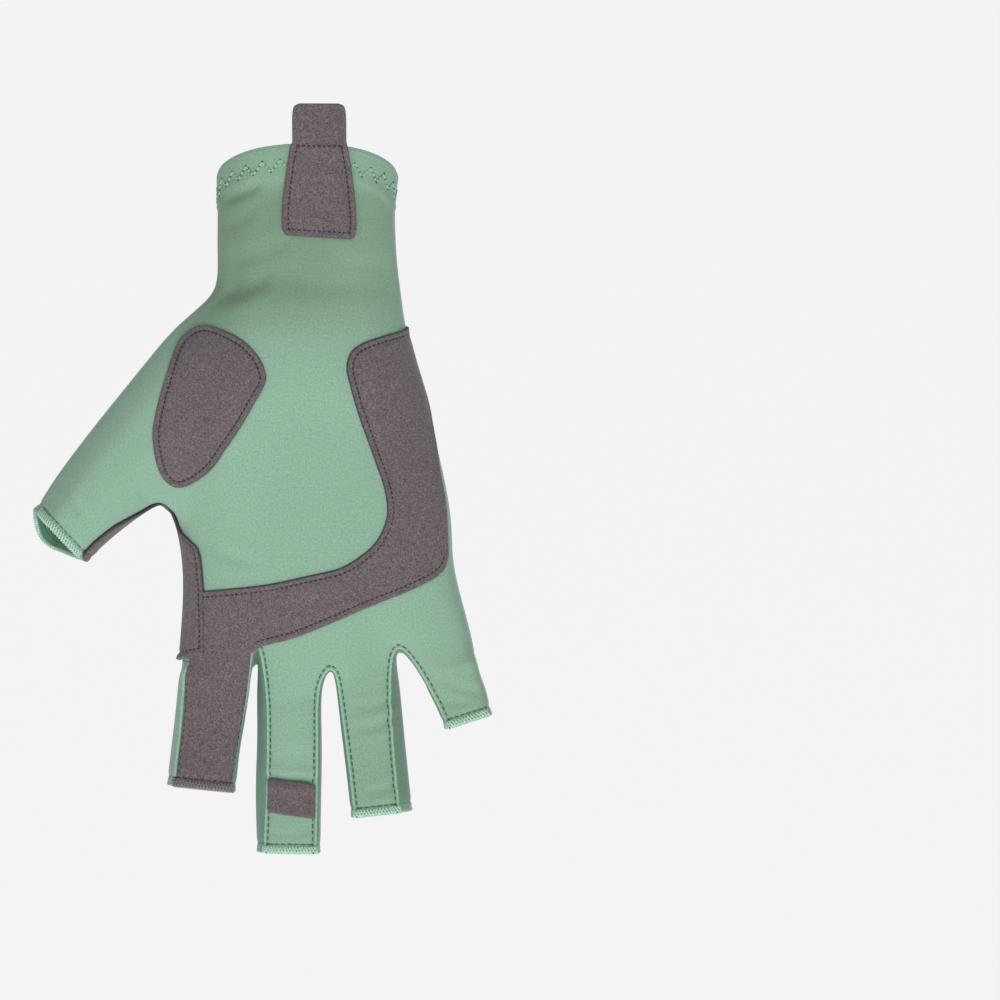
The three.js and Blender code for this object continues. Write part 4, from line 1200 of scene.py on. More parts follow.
# Seen with X along the edge, Y up the finger or down it, and Z out of the cloth.
overlock_loop = bent_loop("overlock_loop", [
    (-0.65, 1.9, -0.15), (-0.4, 1.3, 0.2), (0.1, 0.45, 0.28), (0.45, -0.35, 0), (0.5, -0.5, -0.7),
    (0.4, 0.2, -1.3),
], 0.32)
overlock_back = bent_loop("overlock_back", [
    (0.65, 1.8, -0.2), (0.4, 1.2, 0.05), (0, 0.5, 0.1), (-0.4, -0.3, -0.1), (-0.45, -0.45, -0.7),
    (-0.3, 0.2, -1.3),
], 0.28)
hem_stitch = oval("hem_stitch", 1.6, 0.36, 0.36)

OVERLOCK_PITCH = 1.0
HEM_STITCHES = 2.55  # from the opening to its line of stitches
EDGE_ROLL = 0.72  # radius of the roll at the raw edge
SUEDE_LIFT = 0.95  # how much higher the loops lie on microsuede
for name in ("thumb", "index", "middle", "ring", "little"):
    mine = quad_panel == panel_names.index(f"{name}_hem")
    band = piece_of(f"{name}_hem_cloth", skin_quads[mine], skin, mint_knit, cloth_place[mine], shades)
    seat(thicken(band, WALL, shaded_inner_knit), "stretch_fabric", f"{name}_hem")
    loop, inward = edge_loop(lambda panel: panel == f"{name}_hem")
    core = skin[loop] - skin_normals[loop] * 0.6 + inward * 0.25
    along = tangents_of(core, True)
    out = unit(skin_normals[loop] - along * (skin_normals[loop] * along).sum(axis=1, keepdims=True))
    rings = tube_rings(core, out, np.cross(along, out), EDGE_ROLL, 10)
    seat(piece_of(f"{name}_edge_roll", grid_quads(len(loop), 10, True), rings, mint_knit), "stretch_fabric")
    for side in ("palm", "back"):
        rim, next_in = grids[f"{side} {name}"][-1], grids[f"{side} {name}"][-2]
        into = unit(skin[next_in] - skin[rim])
        # The path runs so that the loops' Y points into the cloth.
        if np.cross(skin_normals[rim[16]], skin[rim[17]] - skin[rim[16]]) @ into[16] < 0:
            rim, into = rim[::-1], into[::-1]
        # The index finger's palm side ends in microsuede, so its loops are grey and lie higher.
        on_suede = (name, side) == ("index", "palm")
        lift = SUEDE_LIFT if on_suede else 0.0
        thread, line_thread = (suede_thread, navy_thread) if on_suede else (pale_thread, green_thread)
        path = (skin[rim] + skin_normals[rim] * lift, skin_normals[rim], False)
        for part, stitch, seed in (("overlock", overlock_loop, 11), ("overlock_back", overlock_back, 23)):
            sewing = sewn(f"{name}_{side}_{part}", [path], stitch, OVERLOCK_PITCH, thread, seed=seed)
            seat(sewing, "overlock_thread")
        line = (*laid_on_skin(skin[rim] + into * HEM_STITCHES, 0.02 + lift), False)
        seat(sewn(f"{name}_{side}_hem_stitches", [line], hem_stitch, 1.9, line_thread), "overlock_thread")

# Seams between the palm, the finger sides and the back: the raw edges are turned out into a thin roll,
# lighter with a painted highlight, held by dark green stitches that run just inside it on the palm and back
# panels.

SEAM_ROLL = 0.5
SEAM_STITCH = 1.15  # from the seam to its stitches
seam_stitch = oval("seam_stitch", 1.5, 0.58, 0.46)


def seam_line(region, edge, first=0, last=None):
    """A stretch of a strip's sewn edge: its skin vertices, and the way off the strip onto the panel."""
    grid = grids[region][first * CELLS : None if last is None else last * CELLS + 1]
    line, next_in = (grid[:, 0], grid[:, 1]) if edge == PALM else (grid[:, -1], grid[:, -2])
    away = skin[line] - skin[next_in]
    along = tangents_of(skin[line], False)
    off = np.cross(along, skin_normals[line])
    off *= np.sign((off * away).sum(axis=1, keepdims=True))
    return line, off


def roll(name, points, normals, radius, pinch=0.12, pitch=2.0, sides=8):
    """A closed tube of knit along an open path, a little pinched wherever a stitch holds it."""
    run = run_along(points)
    ways = np.linspace(0, run[-1], max(2, int(run[-1] / 0.5)))
    points, normals = at_ways(ways, run, points, normals)
    normals = unit(normals)
    size = radius * (1 - pinch * np.cos(2 * math.pi * ways / pitch))
    size[0] = size[-1] = radius * 0.3
    rings = tube_rings(points, unit(np.cross(tangents_of(points, False), normals)), normals, size, sides)
    mesh = bpy.data.meshes.new(name)
    mesh.from_pydata((rings * MM).tolist(), [], capped_tube(rings, sides))
    mesh.materials.append(lit_rolled_knit)
    mesh.shade_smooth()
    seat(add_object(name, mesh), "stretch_fabric")


for web in WEBS:
    for side, edge in (("palm", PALM), ("back", BACK)):
        name = f"{web[0]}_{side}"
        line, off = seam_line(web[0], edge)
        roll(f"{name}_seam_roll", skin[line] + skin_normals[line] * 0.12, skin_normals[line], SEAM_ROLL)
        path = (*laid_on_skin(skin[line] + off * SEAM_STITCH, 0.02), False)
        seat(sewn(f"{name}_stitches", [path], seam_stitch, 2.1, green_thread), "overlock_thread")
# Down the index finger's outer side the back panel's edge is rolled over the microsuede's.
line, off = seam_line("inner side", PALM, WEB_END_ROW)
roll("index_outer_seam_roll", skin[line] + skin_normals[line] * 0.3 - off * 0.35, skin_normals[line], 0.62)

# Microsuede: a dense grey-brown nap, heathered with paler and darker fibres, dead matt. Painted shade darkens
# it along some of its cut edges.


def microsuede_material():
    made, tree = new_material("heathered_microsuede")
    place = node(tree, "ShaderNodeTexCoord").outputs["Object"]
    # Flecks about 0.6 mm across, twice the real fibre clumps, so that they still show.
    flecks = noise(tree, place, 2100.0, 2.5, 0.75)
    tone = node(tree, "ShaderNodeValToRGB", Fac=flecks)
    ramp = tone.color_ramp
    ramp.elements[0].position, ramp.elements[0].color = 0.36, linear("51484c")
    ramp.elements[1].position, ramp.elements[1].color = 0.64, linear("827677")
    ramp.elements.new(0.5).color = linear("695f61")
    clouds = stretched(tree, noise(tree, place, 520.0, 2.0, 0.6), 0.92, 1.07)
    clouded = mixed(tree, 1.0, tone.outputs["Color"], clouds, "MULTIPLY")
    # Painted shade along the cut edges, by the share that each piece keeps for it.
    edged = mixed(tree, share_of(tree, "cut"), clouded, linear("2a2a2e"))
    cloth_shader(
        tree, edged, (0.6, 0.00015, flecks), Roughness=0.95, Sheen_Weight=0.2, Sheen_Roughness=0.6,
        Specular_IOR_Level=0.1,
    )
    return made


microsuede = microsuede_material()
navy_stitch = oval("navy_stitch", 1.2, 0.62, 0.44)

# The palm side laid flat: X as seen from the front, but unrolled round the little finger's side of the hand.
UNROLL_FROM = int(6.4 * CELLS)
flat_x = skin[:, 0].copy()
palm_body, little_side = grids["palm body"], grids["little side"]
for row in range(palm_body.shape[0]):
    side_row = (FINGER_LINES + LAST) * CELLS - row
    line = np.concatenate([palm_body[row, UNROLL_FROM:], little_side[side_row, 1 : CELLS + 1]])
    flat_x[line] = skin[line[0], 0] + run_along(skin[line])
flat = np.stack([flat_x, np.zeros(len(skin)), skin[:, 2]], axis=1)

palm_regions = {f"palm {name}" for name in ("body", "index", "middle", "ring", "little", "thumb")}
on_palm_side = np.isin(quad_region, [region_names.index(name) for name in palm_regions])
unrolled = quad_region == region_names.index("little side")
unrolled &= quad_places[..., 1].max(axis=1) <= CELLS
unrolled &= quad_places[..., 0].min(axis=1) >= FINGER_LINES * CELLS
palm_quads = np.flatnonzero(on_palm_side | unrolled)
front_tree = BVHTree.FromPolygons(skin.tolist(), skin_quads[palm_quads].tolist())
flat_tree = BVHTree.FromPolygons(flat.tolist(), skin_quads[palm_quads].tolist())
side_border = little_side[FINGER_LINES * CELLS :, CELLS]


def unroll(x, z):
    """A place of the front view on the flat palm side. Beyond the outline it is the panel's border."""
    spot, _, face, _ = front_tree.ray_cast(Vector((x, -200, z)), Vector((0, 1, 0)))
    if spot is None:
        nearest = side_border[np.abs(skin[side_border, 2] - z).argmin()]
        return flat_x[nearest] - 0.2, z
    quad = palm_quads[face]
    place = quad_weights(skin, quad, spot) @ flat[skin_quads[quad]]
    return place[0], place[2]


def on_palm_panel(x, z):
    """The point of the skin at a place on the flat palm side, and its normal."""
    spot, _, face, _ = flat_tree.find_nearest(Vector((x, 0, z)))
    quad = palm_quads[face]
    weights = quad_weights(flat, quad, spot)
    return weights @ skin[skin_quads[quad]], unit(weights @ skin_normals[skin_quads[quad]])


def smooth_curve(points, closed=False, step=0.7):
    """A centripetal curve through some points of a plane, every step along it."""
    points = np.array(points, float)
    if len(points) == 2:
        count = max(2, int(np.linalg.norm(points[1] - points[0]) / step) + 1)
        return points[0] + np.linspace(0, 1, count)[:, None] * (points[1] - points[0])
    if closed:
        points = np.concatenate([points[-1:], points, points[:2]])
    else:
        points = np.concatenate([[2 * points[0] - points[1]], points, [2 * points[-1] - points[-2]]])
    made = []
    for a, b, c, d in zip(points, points[1:], points[2:], points[3:]):
        t = np.cumsum([0] + [max(np.linalg.norm(q - p), 1e-6) ** 0.5 for p, q in ((a, b), (b, c), (c, d))])
        u = np.linspace(t[1], t[2], max(2, int(np.linalg.norm(c - b) / step) + 1), endpoint=False)[:, None]
        ab, bc, cd = (
            p + (q - p) * (u - t[i]) / (t[i + 1] - t[i]) for i, (p, q) in enumerate(((a, b), (b, c), (c, d)))
        )
        abc, bcd = ab + (bc - ab) * (u - t[0]) / (t[2] - t[0]), bc + (cd - bc) * (u - t[1]) / (t[3] - t[1])
        made.append(abc + (bcd - abc) * (u - t[1]) / (t[2] - t[1]))
    if not closed:
        made.append(points[-2:-1])
    return np.concatenate(made)


def outline_of(*stretches):
    """A closed outline from stretches of points, each one a smooth curve, with a corner between two."""
    points = np.concatenate([smooth_curve(stretch) for stretch in stretches])
    keep = np.linalg.norm(points - np.roll(points, -1, axis=0), axis=1) > 0.02
    return points[keep]


def along_outline(points, outline):
    """How far points of a plane are from a closed outline, its nearest points, and which are inside."""
    a, b = outline, np.roll(outline, -1, axis=0)
    way = b - a
    share = np.clip(((points[:, None] - a) * way).sum(axis=2) / (way**2).sum(axis=1), 0, 1)
    nearest = np.linalg.norm(points[:, None] - (a + share[..., None] * way), axis=2)
    x, z = points[:, :1], points[:, 1:]
    crossing = a[:, 0] + (z - a[:, 1]) * way[:, 0] / np.where(way[:, 1] == 0, 1e-9, way[:, 1])
    crosses = ((a[:, 1] > z) != (b[:, 1] > z)) & (x < crossing)
    return nearest.min(axis=1), nearest.argmin(axis=1), crosses.sum(axis=1) % 2 == 1


SUEDE = 1.0  # how high its face lies above the skin
SUEDE_WALL = 0.9
SUEDE_STITCH = 2.0  # from its cut edge to its stitches
ON_SUEDE = SUEDE * 0.72  # height of the stitches, pressed into its groove
CUT_RINGS = (0.08, 0.22, 0.45, 0.8, 1.2, 1.55, 1.85, 2.15, 2.6, 3.3)


def ring_inside(outline, away):
    """Points of an outline drawn in by a distance."""
    along = tangents_of(outline, True)
    turn = np.array([along[:, 1], -along[:, 0]]).T
    area = (outline[:, 0] * np.roll(outline[:, 1], -1) - outline[:, 1] * np.roll(outline[:, 0], -1)).sum()
    inner = outline + turn * (-away if area > 0 else away)
    distance, _, inside = along_outline(inner, outline)
    return inner, inside & (distance > away * 0.96)


def rounded_edge(distance, reach):
    """A share of full height that rises from 0 at a cut edge to 1 at reach, round in section."""
    return np.clip(1 - (1 - np.clip(distance / reach, 0, 1)) ** 2.4, 0, 1)


def nothing(points):
    return np.zeros(len(points))


def cut_suede(name, outline, place_at, step=0.9, groove=None, dark=nothing, lift=nothing):
    """A piece of microsuede cut to an outline, with round edges and a groove along its stitches."""
    points = [outline]
    for away in CUT_RINGS:
        inner, good = ring_inside(outline, away)
        points.append(inner[good][:: 1 if away < 1 else 2])
    low, high = outline.min(axis=0), outline.max(axis=0)
    rows = np.arange(low[1], high[1], step * 0.87)
    grid = np.array([
        (x, z) for i, z in enumerate(rows) for x in np.arange(low[0] + (i % 2) * step / 2, high[0], step)
    ])
    distance, _, inside = along_outline(grid, outline)
    points.append(grid[inside & (distance > CUT_RINGS[-1] + step * 0.5)])
    corners = [Vector(p) for p in np.concatenate(points)]
    made = delaunay_2d_cdt(corners, [], [list(range(len(outline)))], 1, 1e-4)
    plane = np.array([tuple(p) for p in made[0]])
    distance, nearest, _ = along_outline(plane, outline)
    height = SUEDE * rounded_edge(distance, 0.45) * 0.8 + 0.2 * SUEDE + lift(plane)
    if groove is not None:
        height -= 0.38 * bell(distance - groove, 0.42)
    spots, _ = raised([place_at(x, z) for x, z in plane], height[:, None])
    facing = []
    for face in made[2]:
        (ax, ay), (bx, by), (cx, cy) = plane[face[:3]]
        turned = (bx - ax) * (cy - ay) - (by - ay) * (cx - ax) < 0
        facing.append(face[::-1] if turned else face)
    mesh = bpy.data.meshes.new(name)
    mesh.from_pydata((spots * MM).tolist(), [], facing)
    # Painted shade along the cut edge, as strong as dark gives it there.
    store(mesh, "cut", np.clip(1.15 - distance / 0.5, 0, 1) * dark(outline[nearest]))
    mesh.materials.append(microsuede)
    mesh.shade_smooth()
    return thicken(add_object(name, mesh), SUEDE_WALL)


def navy_stitches(name, paths, pitch=1.6):
    seat(sewn(name, paths, navy_stitch, pitch, navy_thread, unevenness=0.06), "microsuede")


def stitches_on(name, outline, place_at, height=ON_SUEDE, keep=None, away=SUEDE_STITCH, pitch=1.6):
    """Navy stitches inside an outline, by a distance, on those stretches of it that keep is true for."""
    inner, good = ring_inside(outline, away)
    if keep:
        good &= keep(outline)
    starts = np.flatnonzero(good & ~np.roll(good, 1))
    count = len(good)
    runs = [] if len(starts) else [np.arange(count)]
    for start in starts:
        end = start
        while good[end % count] and end - start < count:
            end += 1
        runs.append(np.arange(start, end) % count)
    runs = [run for run in runs if len(run) >= 4]
    paths = [(*raised([place_at(*inner[i]) for i in run], height), not len(starts)) for run in runs]
    navy_stitches(name, paths, pitch)


# The patch on the mound of the thumb, as shares of its own width and length from its middle.
THENAR_PATCH_LENGTH = 51.3
THENAR_PATCH_WIDTH = 36.2
THENAR_OUTLINE = np.array([
    (-0.09, 0.498), (-0.013, 0.5), (0.064, 0.488), (0.174, 0.457), (0.284, 0.414), (0.372, 0.36),
    (0.449, 0.29), (0.493, 0.212), (0.5, 0.174), (0.482, 0.127), (0.416, 0.042), (0.328, -0.067),
    (0.24, -0.168), (0.14, -0.269),
    (0.03, -0.38), (-0.068, -0.44), (-0.156, -0.478), (-0.244, -0.5), (-0.32, -0.497), (-0.4, -0.455),
    (-0.454, -0.385), (-0.487, -0.284), (-0.5, -0.16), (-0.476, -0.052), (-0.432, 0.073), (-0.377, 0.197),
    (-0.32, 0.321), (-0.267, 0.407), (-0.178, 0.469),
])


def on_palm(across, down):
    """A place of the front view: across is -1 to 1 between the sides, down is a share of the length."""
    index = next(i for i in range(1, LAST + 1) if SECTIONS[i]["down"] >= min(down, 1))
    above, below = section_at(index - 1), section_at(index)
    share = (down - above["down"]) / (below["down"] - above["down"])
    middle, half_width = (lerp(above[key], below[key], share) for key in ("x", "half_width"))
    return middle + across * half_width, -down * PALM_LENGTH


thenar_size = np.array((THENAR_PATCH_WIDTH, THENAR_PATCH_LENGTH))
thenar = smooth_curve(on_palm(-0.858, 0.488) + THENAR_OUTLINE * thenar_size, True)
# Painted shade all round the patch's cut edge.
patch = cut_suede(
    "thenar_suede", thenar, on_palm_panel, groove=SUEDE_STITCH, dark=lambda points: np.full(len(points), 0.55)
)
seat(patch, "microsuede", "thenar_patch")
stitches_on("thenar_stitches", thenar, on_palm_panel)

# The long guard: one piece from the heel of the hand down its side, across under the fingers and down the
# index finger to its opening, sewn down 2 mm inside its cut edge.


def finger_corner(distance, across, index=0, inset=None):
    """A place of the front view on a finger's palm panel, inside its seam. The guard covers half the inner
    seam.
    """
    finger = FINGERS[index]
    inset = inset if inset is not None else 0.9 if across < 0 else 0.2
    point = finger_point(index, distance, across, 0, finger["palm"])
    angle = math.radians(finger["angle"])
    return point[0] - across * inset * math.cos(angle), point[2] - across * inset * math.sin(angle)


index_rows = [share * (FINGERS[0]["length"] + 0.2) for share in (0.2, 0.5, 0.8, 1)]
outer_rows = [(d, 1, 0, inset) for d, inset in zip(index_rows, (-1.4, -1.0, -0.1, 0.2))]
inner_border = [on_palm(*p) for p in (
    (1.3, 0.325), (0.94, 0.335), (0.73, 0.348), (0.54, 0.362), (0.42, 0.38), (0.36, 0.41), (0.37, 0.45),
    (0.41, 0.51), (0.48, 0.59), (0.53, 0.66), (0.52, 0.71), (0.43, 0.76), (0.3, 0.79), (0.15, 0.812),
    (-0.1, 0.828), (-0.4, 0.845), (-0.72, 0.855), (-0.925, 0.86),
)]
finger_border = [on_palm(*p) for p in (
    (-0.46, 0.97), (-0.24, 0.954), (0.045, 0.923), (0.34, 0.889), (0.65, 0.857), (0.86, 0.83), (0.93, 0.813),
    (0.958, 0.797),
)]
side_border_places = [on_palm(*p) for p in (
    (0.965, 0.785), (0.965, 0.74), (0.968, 0.68), (0.975, 0.62), (0.985, 0.57), (0.996, 0.52), (1.3, 0.46),
    (1.3, 0.4), (1.3, 0.36),
)]
upper_edge, lower_edge, side_edge = (
    [unroll(*p) for p in places] for places in (inner_border, finger_border, side_border_places)
)
inner_edge = [finger_corner(d, -1) for d in index_rows]
outer_edge = [finger_corner(*row) for row in outer_rows]
guard = outline_of(
    upper_edge,
    [upper_edge[-1], unroll(*on_palm(-0.925, 0.97))],
    [finger_corner(2, -1), *inner_edge],
    [inner_edge[-1], finger_corner(index_rows[-1], 1)],
    [*reversed(outer_edge), unroll(*on_palm(-0.54, 0.985))],
    lower_edge,
    side_edge,
)


def near(reach, *lines):
    """A test of whether outline points lie within reach of some lines."""
    fine = np.concatenate([smooth_curve(line) for line in lines])
    return lambda points: np.linalg.norm(points[:, None] - fine, axis=2).min(axis=1) < reach


# Painted shadow along the guard's upper edge.
piece = cut_suede("palm_guard_suede", guard, on_palm_panel, groove=SUEDE_STITCH, dark=near(0.6, upper_edge))
seat(piece, "microsuede", "palm_guard")
stitches_on("palm_guard_stitches", guard, on_palm_panel, keep=near(0.6, upper_edge, lower_edge))

# Down the index finger the seams' own stitches show along both its edges.
stitches_on(
    "index_edge_stitches", guard, on_palm_panel, SUEDE * 0.86, near(0.4, inner_edge, outer_edge), 0.55, 2.1
)

# The guard across the middle finger, caught in the seams on both sides. Its upper edge stands a little off.
BAND_HEIGHT = 10.6
BAND_FROM_TIP = 16.8
BAND_TILT = math.radians(5)


def band_edge(side, across):
    finger = FINGERS[1]
    rise = math.tan(BAND_TILT) * across * finger["tip"] / 2
    return finger_corner(finger["length"] - BAND_FROM_TIP + side * BAND_HEIGHT / 2 + rise, across, 1, 0.8)


band = outline_of(
    [band_edge(-1, -1), band_edge(-1, 0), band_edge(-1, 1)], [band_edge(-1, 1), band_edge(1, 1)],
    [band_edge(1, 1), band_edge(1, 0), band_edge(1, -1)], [band_edge(1, -1), band_edge(-1, -1)],
)
band_top = near(0.5, [band_edge(-1, -1), band_edge(-1, 1)])


def band_lift(points):
    low, high = np.array(band_edge(-1, 0)), np.array(band_edge(1, 0))
    down = ((points - low) @ (high - low)) / np.linalg.norm(high - low)
    across = (points[:, 0] - low[0]) / (FINGERS[1]["tip"] / 2)
    return 0.6 * bell(down, 2.6) * np.clip(1 - across**2 * 1.5, 0, 1)


# Painted shadow along the band's upper edge.
piece = cut_suede("finger_band_suede", band, on_palm_panel, step=0.8, dark=band_top, lift=band_lift)
seat(piece, "microsuede", "finger_band")

# The microsuede round the crotch of the thumb: one piece from the thumb's opening, along its inner side and
# round the crotch, that ends as a loose-cornered flap on the index finger's side of the palm.

WEB_SUEDE = 1.3
FLAP_EDGE = np.array([on_palm(*p) for p in (
    (-1.06, 0.715), (-1.02, 0.735), (-0.955, 0.757), (-0.908, 0.7725), (-0.894, 0.79), (-0.883, 0.82),
    (-0.868, 0.857), (-0.852, 0.93), (-0.842, 1),
)])
# How far the palm's cloth comes round onto the strip, in its columns, at some rows of the net.
WEB_BORDER_ROWS = (0, 0.4, 1, 3, 4, 5, CROTCH_ROW, CROTCH_ROW + 0.2, CROTCH_ROW + 0.4, CROTCH_ROW + 0.5)
WEB_BORDER_COLUMNS = (8, 3, 1, 2, 7, 10, 13, 10, 3, 0)
FLAP_LENGTH = 22
FLAP_SLANT = 9  # how far in from its palm edge the flap's end is cut at a slant
FLAP_CUT_BACK = 2.4  # how much shorter the flap is at its palm edge
FLAP_STITCH = 1.7  # from the flap's palm edge to its stitches
BACK_STITCH = 2.2  # from the patch's back edge to its stitches
END_STITCH = 2.8  # from the flap's end to its stitches
END_GROOVE = 2.6  # from the thumb's opening and from the flap's end to a groove
web_strip = grids["inner side"][: WEB_END_ROW * CELLS + 1]


def web_row(at):
    """The skin across the patch on both sides of a row of its strip, from the palm edge to the back edge."""
    low = int(min(at, len(web_strip) - 2))
    lines = []
    for row in (low, low + 1):
        border = np.interp(row / CELLS, WEB_BORDER_ROWS, WEB_BORDER_COLUMNS)
        ids = web_strip[row, int(border) :]
        start = 0.0
        if row > (CROTCH_ROW + 0.5) * CELLS:
            body = palm_body[row - CROTCH_ROW * CELLS + THUMB_LAST * CELLS, : 2 * CELLS]
            edge_x = np.interp(-skin[body[0], 2], -FLAP_EDGE[:, 1], FLAP_EDGE[:, 0])
            start = max(0.0, np.interp(edge_x, skin[body, 0], range(len(body))))
            ids = np.concatenate([body[int(math.ceil(start)) : 0 : -1], ids])
        pair = [skin[ids], skin_normals[ids]]
        if start > 0:
            a, b = body[int(start)], body[int(start) + 1]
            for i, values in enumerate((skin, skin_normals)):
                rest = pair[i][1:] if start % 1 else pair[i]
                pair[i] = np.concatenate([[lerp(values[a], values[b], start % 1)], rest])
        lines.append((*pair, run_along(pair[0])))
    return lines, at - low


def across_web(at, stops):
    """Places and normals of the skin on a row of the patch, at some distances from its palm edge."""
    lines, share = web_row(at)
    width = lerp(lines[0][2][-1], lines[1][2][-1], share)
    way = np.clip(np.array(stops(width)) / width, 0, 1)
    low, high = (at_ways(way * run[-1], run, places, normals) for places, normals, run in lines)
    places, normals = (lerp(a, b, share) for a, b in zip(low, high))
    return places, unit(normals), width


EDGE_STOPS = (0, 0.1, 0.25, 0.5, 0.9, 1.4, 1.9, 2.4, 2.8, 3.2, 3.7)
WEB_COLUMNS = 44


def web_stops(width):
    edge = np.array(EDGE_STOPS) * min(1, width / 9)
    inner = np.linspace(edge[-1], width - edge[-1], WEB_COLUMNS - 2 * len(edge) + 2)[1:-1]
    return np.concatenate([edge, inner, width - edge[::-1]])


web_run = run_along(skin[web_strip[:, CELLS]])
web_length, crotch_run = web_run[-1], web_run[CROTCH_ROW * CELLS]
row_stops = np.unique(np.concatenate([
    EDGE_STOPS, [2.55, 2.65], np.arange(4.3, web_length - 4.3, 0.8), web_length - np.array(EDGE_STOPS)
]))


def web_place(run, slant):
    """The row of the strip at a distance along it, cut back towards the flap's palm edge."""
    near_end = np.clip((run - (web_length - FLAP_LENGTH)) / FLAP_LENGTH, 0, 1) ** 2
    return np.interp(run - near_end * FLAP_CUT_BACK * slant, web_run, range(len(web_run)))


web_points, web_edge_shade = [], []
for run in row_stops:
    places, normals, width = across_web(web_place(run, 0.0), web_stops)
    stops = web_stops(width)
    if run > web_length - FLAP_LENGTH:
        for i in np.flatnonzero(stops < FLAP_SLANT):
            row = web_place(run, 1 - stops[i] / FLAP_SLANT)
            (places[i],), (normals[i],), _ = across_web(row, lambda width: [stops[i]])
    edge = np.minimum(np.minimum(stops, width - stops), min(run, web_length - run))
    height = WEB_SUEDE * (0.2 + 0.8 * rounded_edge(edge, 0.5))
    height -= 0.4 * bell(width - stops - BACK_STITCH, 0.45) * (run < web_run[(CROTCH_ROW + 1) * CELLS])
    height -= 0.2 * bell(run - END_GROOVE, 0.35)
    if run > crotch_run:
        height -= 0.4 * bell(np.minimum(stops - FLAP_STITCH, web_length - run - END_GROOVE), 0.45)
    # The flap's end lifts off the index finger, most at its outer corner.
    height += 0.9 * bell(web_length - run, 2.2) * np.clip(stops / 8, 0.25, 1)
    web_points.append(places + normals * height[:, None])
    # Painted shade along the patch's palm edge, and in a line at the fold near the thumb's opening.
    web_edge_shade.append(np.clip(1.1 - np.minimum(stops, 9) / 0.36, 0, 1) + 0.8 * bell(run - END_GROOVE, 0.2))
web_points = np.array(web_points)
web_quads = grid_quads(*web_points.shape[:2], joined_columns=False)[:, ::-1]
web_shades = {"cut": np.clip(np.ravel(web_edge_shade), 0, 1)}
piece = piece_of("thumb_web_suede", web_quads, web_points.reshape(-1, 3), microsuede, shades=web_shades)
seat(thicken(piece, SUEDE_WALL), "microsuede", "thumb_web_patch")


def web_line(places, height):
    """A path on the patch. Each place is a way along it, its share of the end's slant, and its distance from
    the palm edge, or with a minus sign from the back edge.
    """
    found = [
        across_web(web_place(run, slant), lambda width: [off if off > 0 else width + off])
        for run, slant, off in places
    ]
    return *raised([(points[0], normals[0]) for points, normals, _ in found], height), False


side_runs = np.arange(crotch_run + 4, web_length - END_STITCH, 0.6)
end_offs = np.arange(FLAP_STITCH + 0.2, 9.5, 0.6)
back_runs = np.arange(3.2, crotch_run + 2, 0.6)
end_places = [(web_length - END_STITCH, max(0, 1 - off / FLAP_SLANT), off) for off in end_offs]
navy_stitches("thumb_web_stitches", [
    web_line([(run, 1.0, FLAP_STITCH) for run in side_runs], WEB_SUEDE * 0.75),
    web_line(end_places, WEB_SUEDE * 0.8),
    web_line([(run, 0.0, -BACK_STITCH) for run in back_runs], WEB_SUEDE * 0.75),
])

# The pull tab: a stiff doubled strip of microsuede with round top corners, that stands above the rim and
# widens to a foot sewn on the cuff all round.

TAB_WIDTH = 16.4
TAB_FOOT_WIDTH = 23.2
TAB_RISE = 13.3
TAB_DROP = 29.5
TAB_CORNER = 2.2
TAB_SHIFT = 3.9
TAB_LIFT = 0.7
TAB_WALL = 1.5
rim_top = RIM_ARCH * (1 - RIM_SIDES)
tab_top, tab_foot = rim_top + TAB_RISE, rim_top - TAB_DROP
tab_half, foot_half = TAB_WIDTH / 2, TAB_FOOT_WIDTH / 2


def on_tab(x, z):
    """The cuff in front of a place, or straight above its rim, as if the cuff went on."""
    rim = RIM_ARCH * (roundness(x / (WRIST_WIDTH / 2), SECTIONS[0]["square"]) - RIM_SIDES)
    spot, normal, _, _ = front_tree.ray_cast(Vector((x, -200, min(z, rim - 1))), Vector((0, 1, 0)))
    normal = np.array(normal if normal[1] < 0 else -normal)
    normal[2] = 0
    return np.array((x, spot[1], z)), unit(normal)


tab = outline_of(*([(x + TAB_SHIFT, z) for x, z in stretch] for stretch in (
    [(-tab_half * 1.02, rim_top + 1), (-tab_half, tab_top - TAB_CORNER),
     (-tab_half + TAB_CORNER * 0.3, tab_top - TAB_CORNER * 0.3), (-tab_half + TAB_CORNER, tab_top)],
    [(-tab_half + TAB_CORNER, tab_top), (tab_half - TAB_CORNER, tab_top)],
    [(tab_half - TAB_CORNER, tab_top), (tab_half - TAB_CORNER * 0.3, tab_top - TAB_CORNER * 0.3),
     (tab_half, tab_top - TAB_CORNER), (tab_half * 1.04, rim_top + 1)],
    [(tab_half * 1.04, rim_top + 1), (tab_half * 1.1, rim_top - 1),
     (foot_half * 0.93, lerp(rim_top, tab_foot, 0.45)), (foot_half, lerp(rim_top, tab_foot, 0.85)),
     (foot_half - 0.35, tab_foot + 1.2), (foot_half - 0.9, tab_foot + 0.1),
     (foot_half - 2.2, tab_foot - 0.3)],
    [(foot_half - 2.2, tab_foot - 0.3), (-foot_half + 2.2, tab_foot + 0.85)],
    [(-foot_half + 2.2, tab_foot + 0.85), (-foot_half + 0.9, tab_foot + 1.35),
     (-foot_half + 0.2, tab_foot + 2.6),
     (-foot_half, lerp(rim_top, tab_foot, 0.8)), (-foot_half * 0.95, lerp(rim_top, tab_foot, 0.5)),
     (-tab_half * 1.1, rim_top - 1), (-tab_half * 1.02, rim_top + 1)],
)))
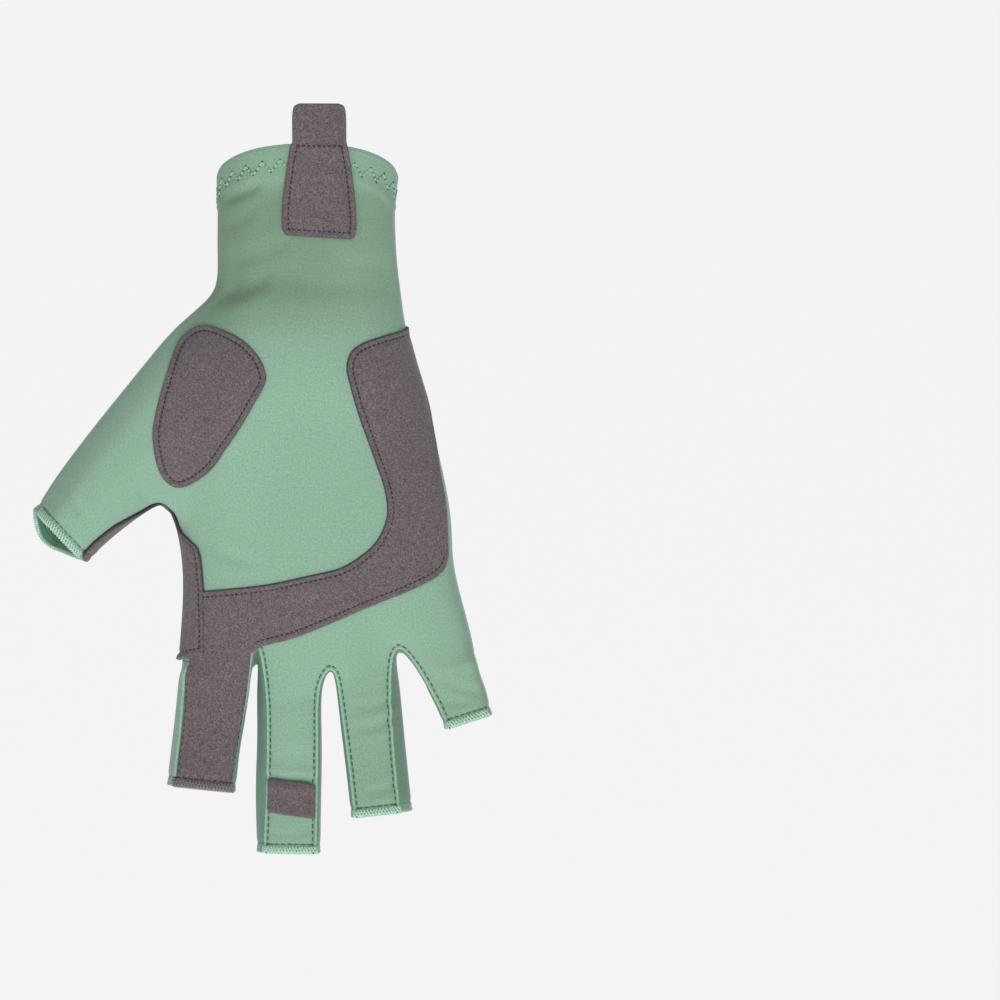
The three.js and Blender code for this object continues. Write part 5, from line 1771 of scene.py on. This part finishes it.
# Painted shadow along the edges of the tab's foot, on the cuff.
piece = cut_suede(
    "pull_tab_suede", tab, on_tab, step=0.8, groove=SUEDE_STITCH, lift=lambda points: TAB_LIFT,
    dark=lambda points: 0.5 * (points[:, 1] < rim_top),
)
piece.modifiers["wall"].thickness = TAB_WALL * MM
seat(piece, "microsuede", "pull_tab")
on_cuff = lambda points: points[:, 1] < rim_top + 0.2
stitches_on("pull_tab_stitches", tab, on_tab, ON_SUEDE + TAB_LIFT, on_cuff)
crossing = [on_tab(x + TAB_SHIFT, rim_top - 0.3) for x in np.arange(-tab_half * 0.78, tab_half * 0.8, 0.5)]
path = (*raised(crossing, SUEDE * 1.02 + TAB_LIFT), False)
seat(sewn("pull_tab_crossing", [path], navy_stitch, 1.6, navy_thread), "microsuede")

# The cuff: the cloth is folded in at the rim and held 6.4 mm below it by a three-step zigzag of pale thread,
# each leg of it three short stitches, with dark needle holes between them.

rim_loop, rim_inward = edge_loop(lambda panel: not is_hem(panel))
rim_edge, rim_out = skin[rim_loop], skin_normals[rim_loop]
# A section through the fold: distance down the cloth, and height above its outer face.
FOLD = [
    (0.0, 0.0), (-0.42, -0.14), (-0.66, -0.6), (-0.7, -1.15), (-0.42, -1.65), (0.1, -1.88), (1.0, -1.95),
    (3.0, -1.97), (5.0, -1.97), (7.0, -1.95), (8.6, -1.93), (9.0, -2.0), (9.1, -2.3),
]
FOLD_WALL = 0.6
fold_points = np.array([
    rim_edge + rim_inward * down + rim_out * height if down <= 0
    else laid_on_skin(rim_edge + rim_inward * down, height)[0]
    for down, height in FOLD
])
piece = piece_of("cuff_fold", grid_quads(*fold_points.shape[:2]), fold_points.reshape(-1, 3), mint_knit)
seat(thicken(piece, FOLD_WALL), "stretch_fabric", "cuff_hem")

ZIGZAG_DEPTH, ZIGZAG_HEIGHT, ZIGZAG_PERIOD = 6.0, 3.5, 6.2
round_rim = [np.concatenate([values, values[:1]]) for values in (rim_edge, rim_inward)]
rim_run = run_along(round_rim[0])
count = round(rim_run[-1] / ZIGZAG_PERIOD) * 6
zig_edge, zig_inward = at_ways(np.arange(count) / count * rim_run[-1], rim_run, *round_rim)
swing = np.abs(np.arange(count) % 6 - 3) / 3  # from 1 at the top to 0 at the bottom
depth = ZIGZAG_DEPTH + (0.5 - swing) * ZIGZAG_HEIGHT
corners, corner_normals = laid_on_skin(zig_edge + zig_inward * depth[:, None], 0.1)
zigzag_stitch = oval("zigzag_stitch", 1.65, 0.72, 0.46)
needle_hole = oval("needle_hole", 0.85, 0.75, 0.36)


def on_legs(share):
    """A path so short that it takes one stitch, on each leg of the zigzag, at a share of its way."""
    return [
        (np.array([lerp(a, b, share), lerp(a, b, share + 0.02)]), np.array([normal, normal]), False)
        for a, b, normal in zip(corners, np.roll(corners, -1, axis=0), corner_normals)
    ]


for name, share, stitch, thread, unevenness in (
    ("cuff_zigzag", 0.5, zigzag_stitch, mint_thread, 0.05),
    ("cuff_needle_holes", 0.0, needle_hole, green_thread, 0.3),
):
    seat(sewn(name, on_legs(share), stitch, 50, thread, unevenness=unevenness), "overlock_thread")
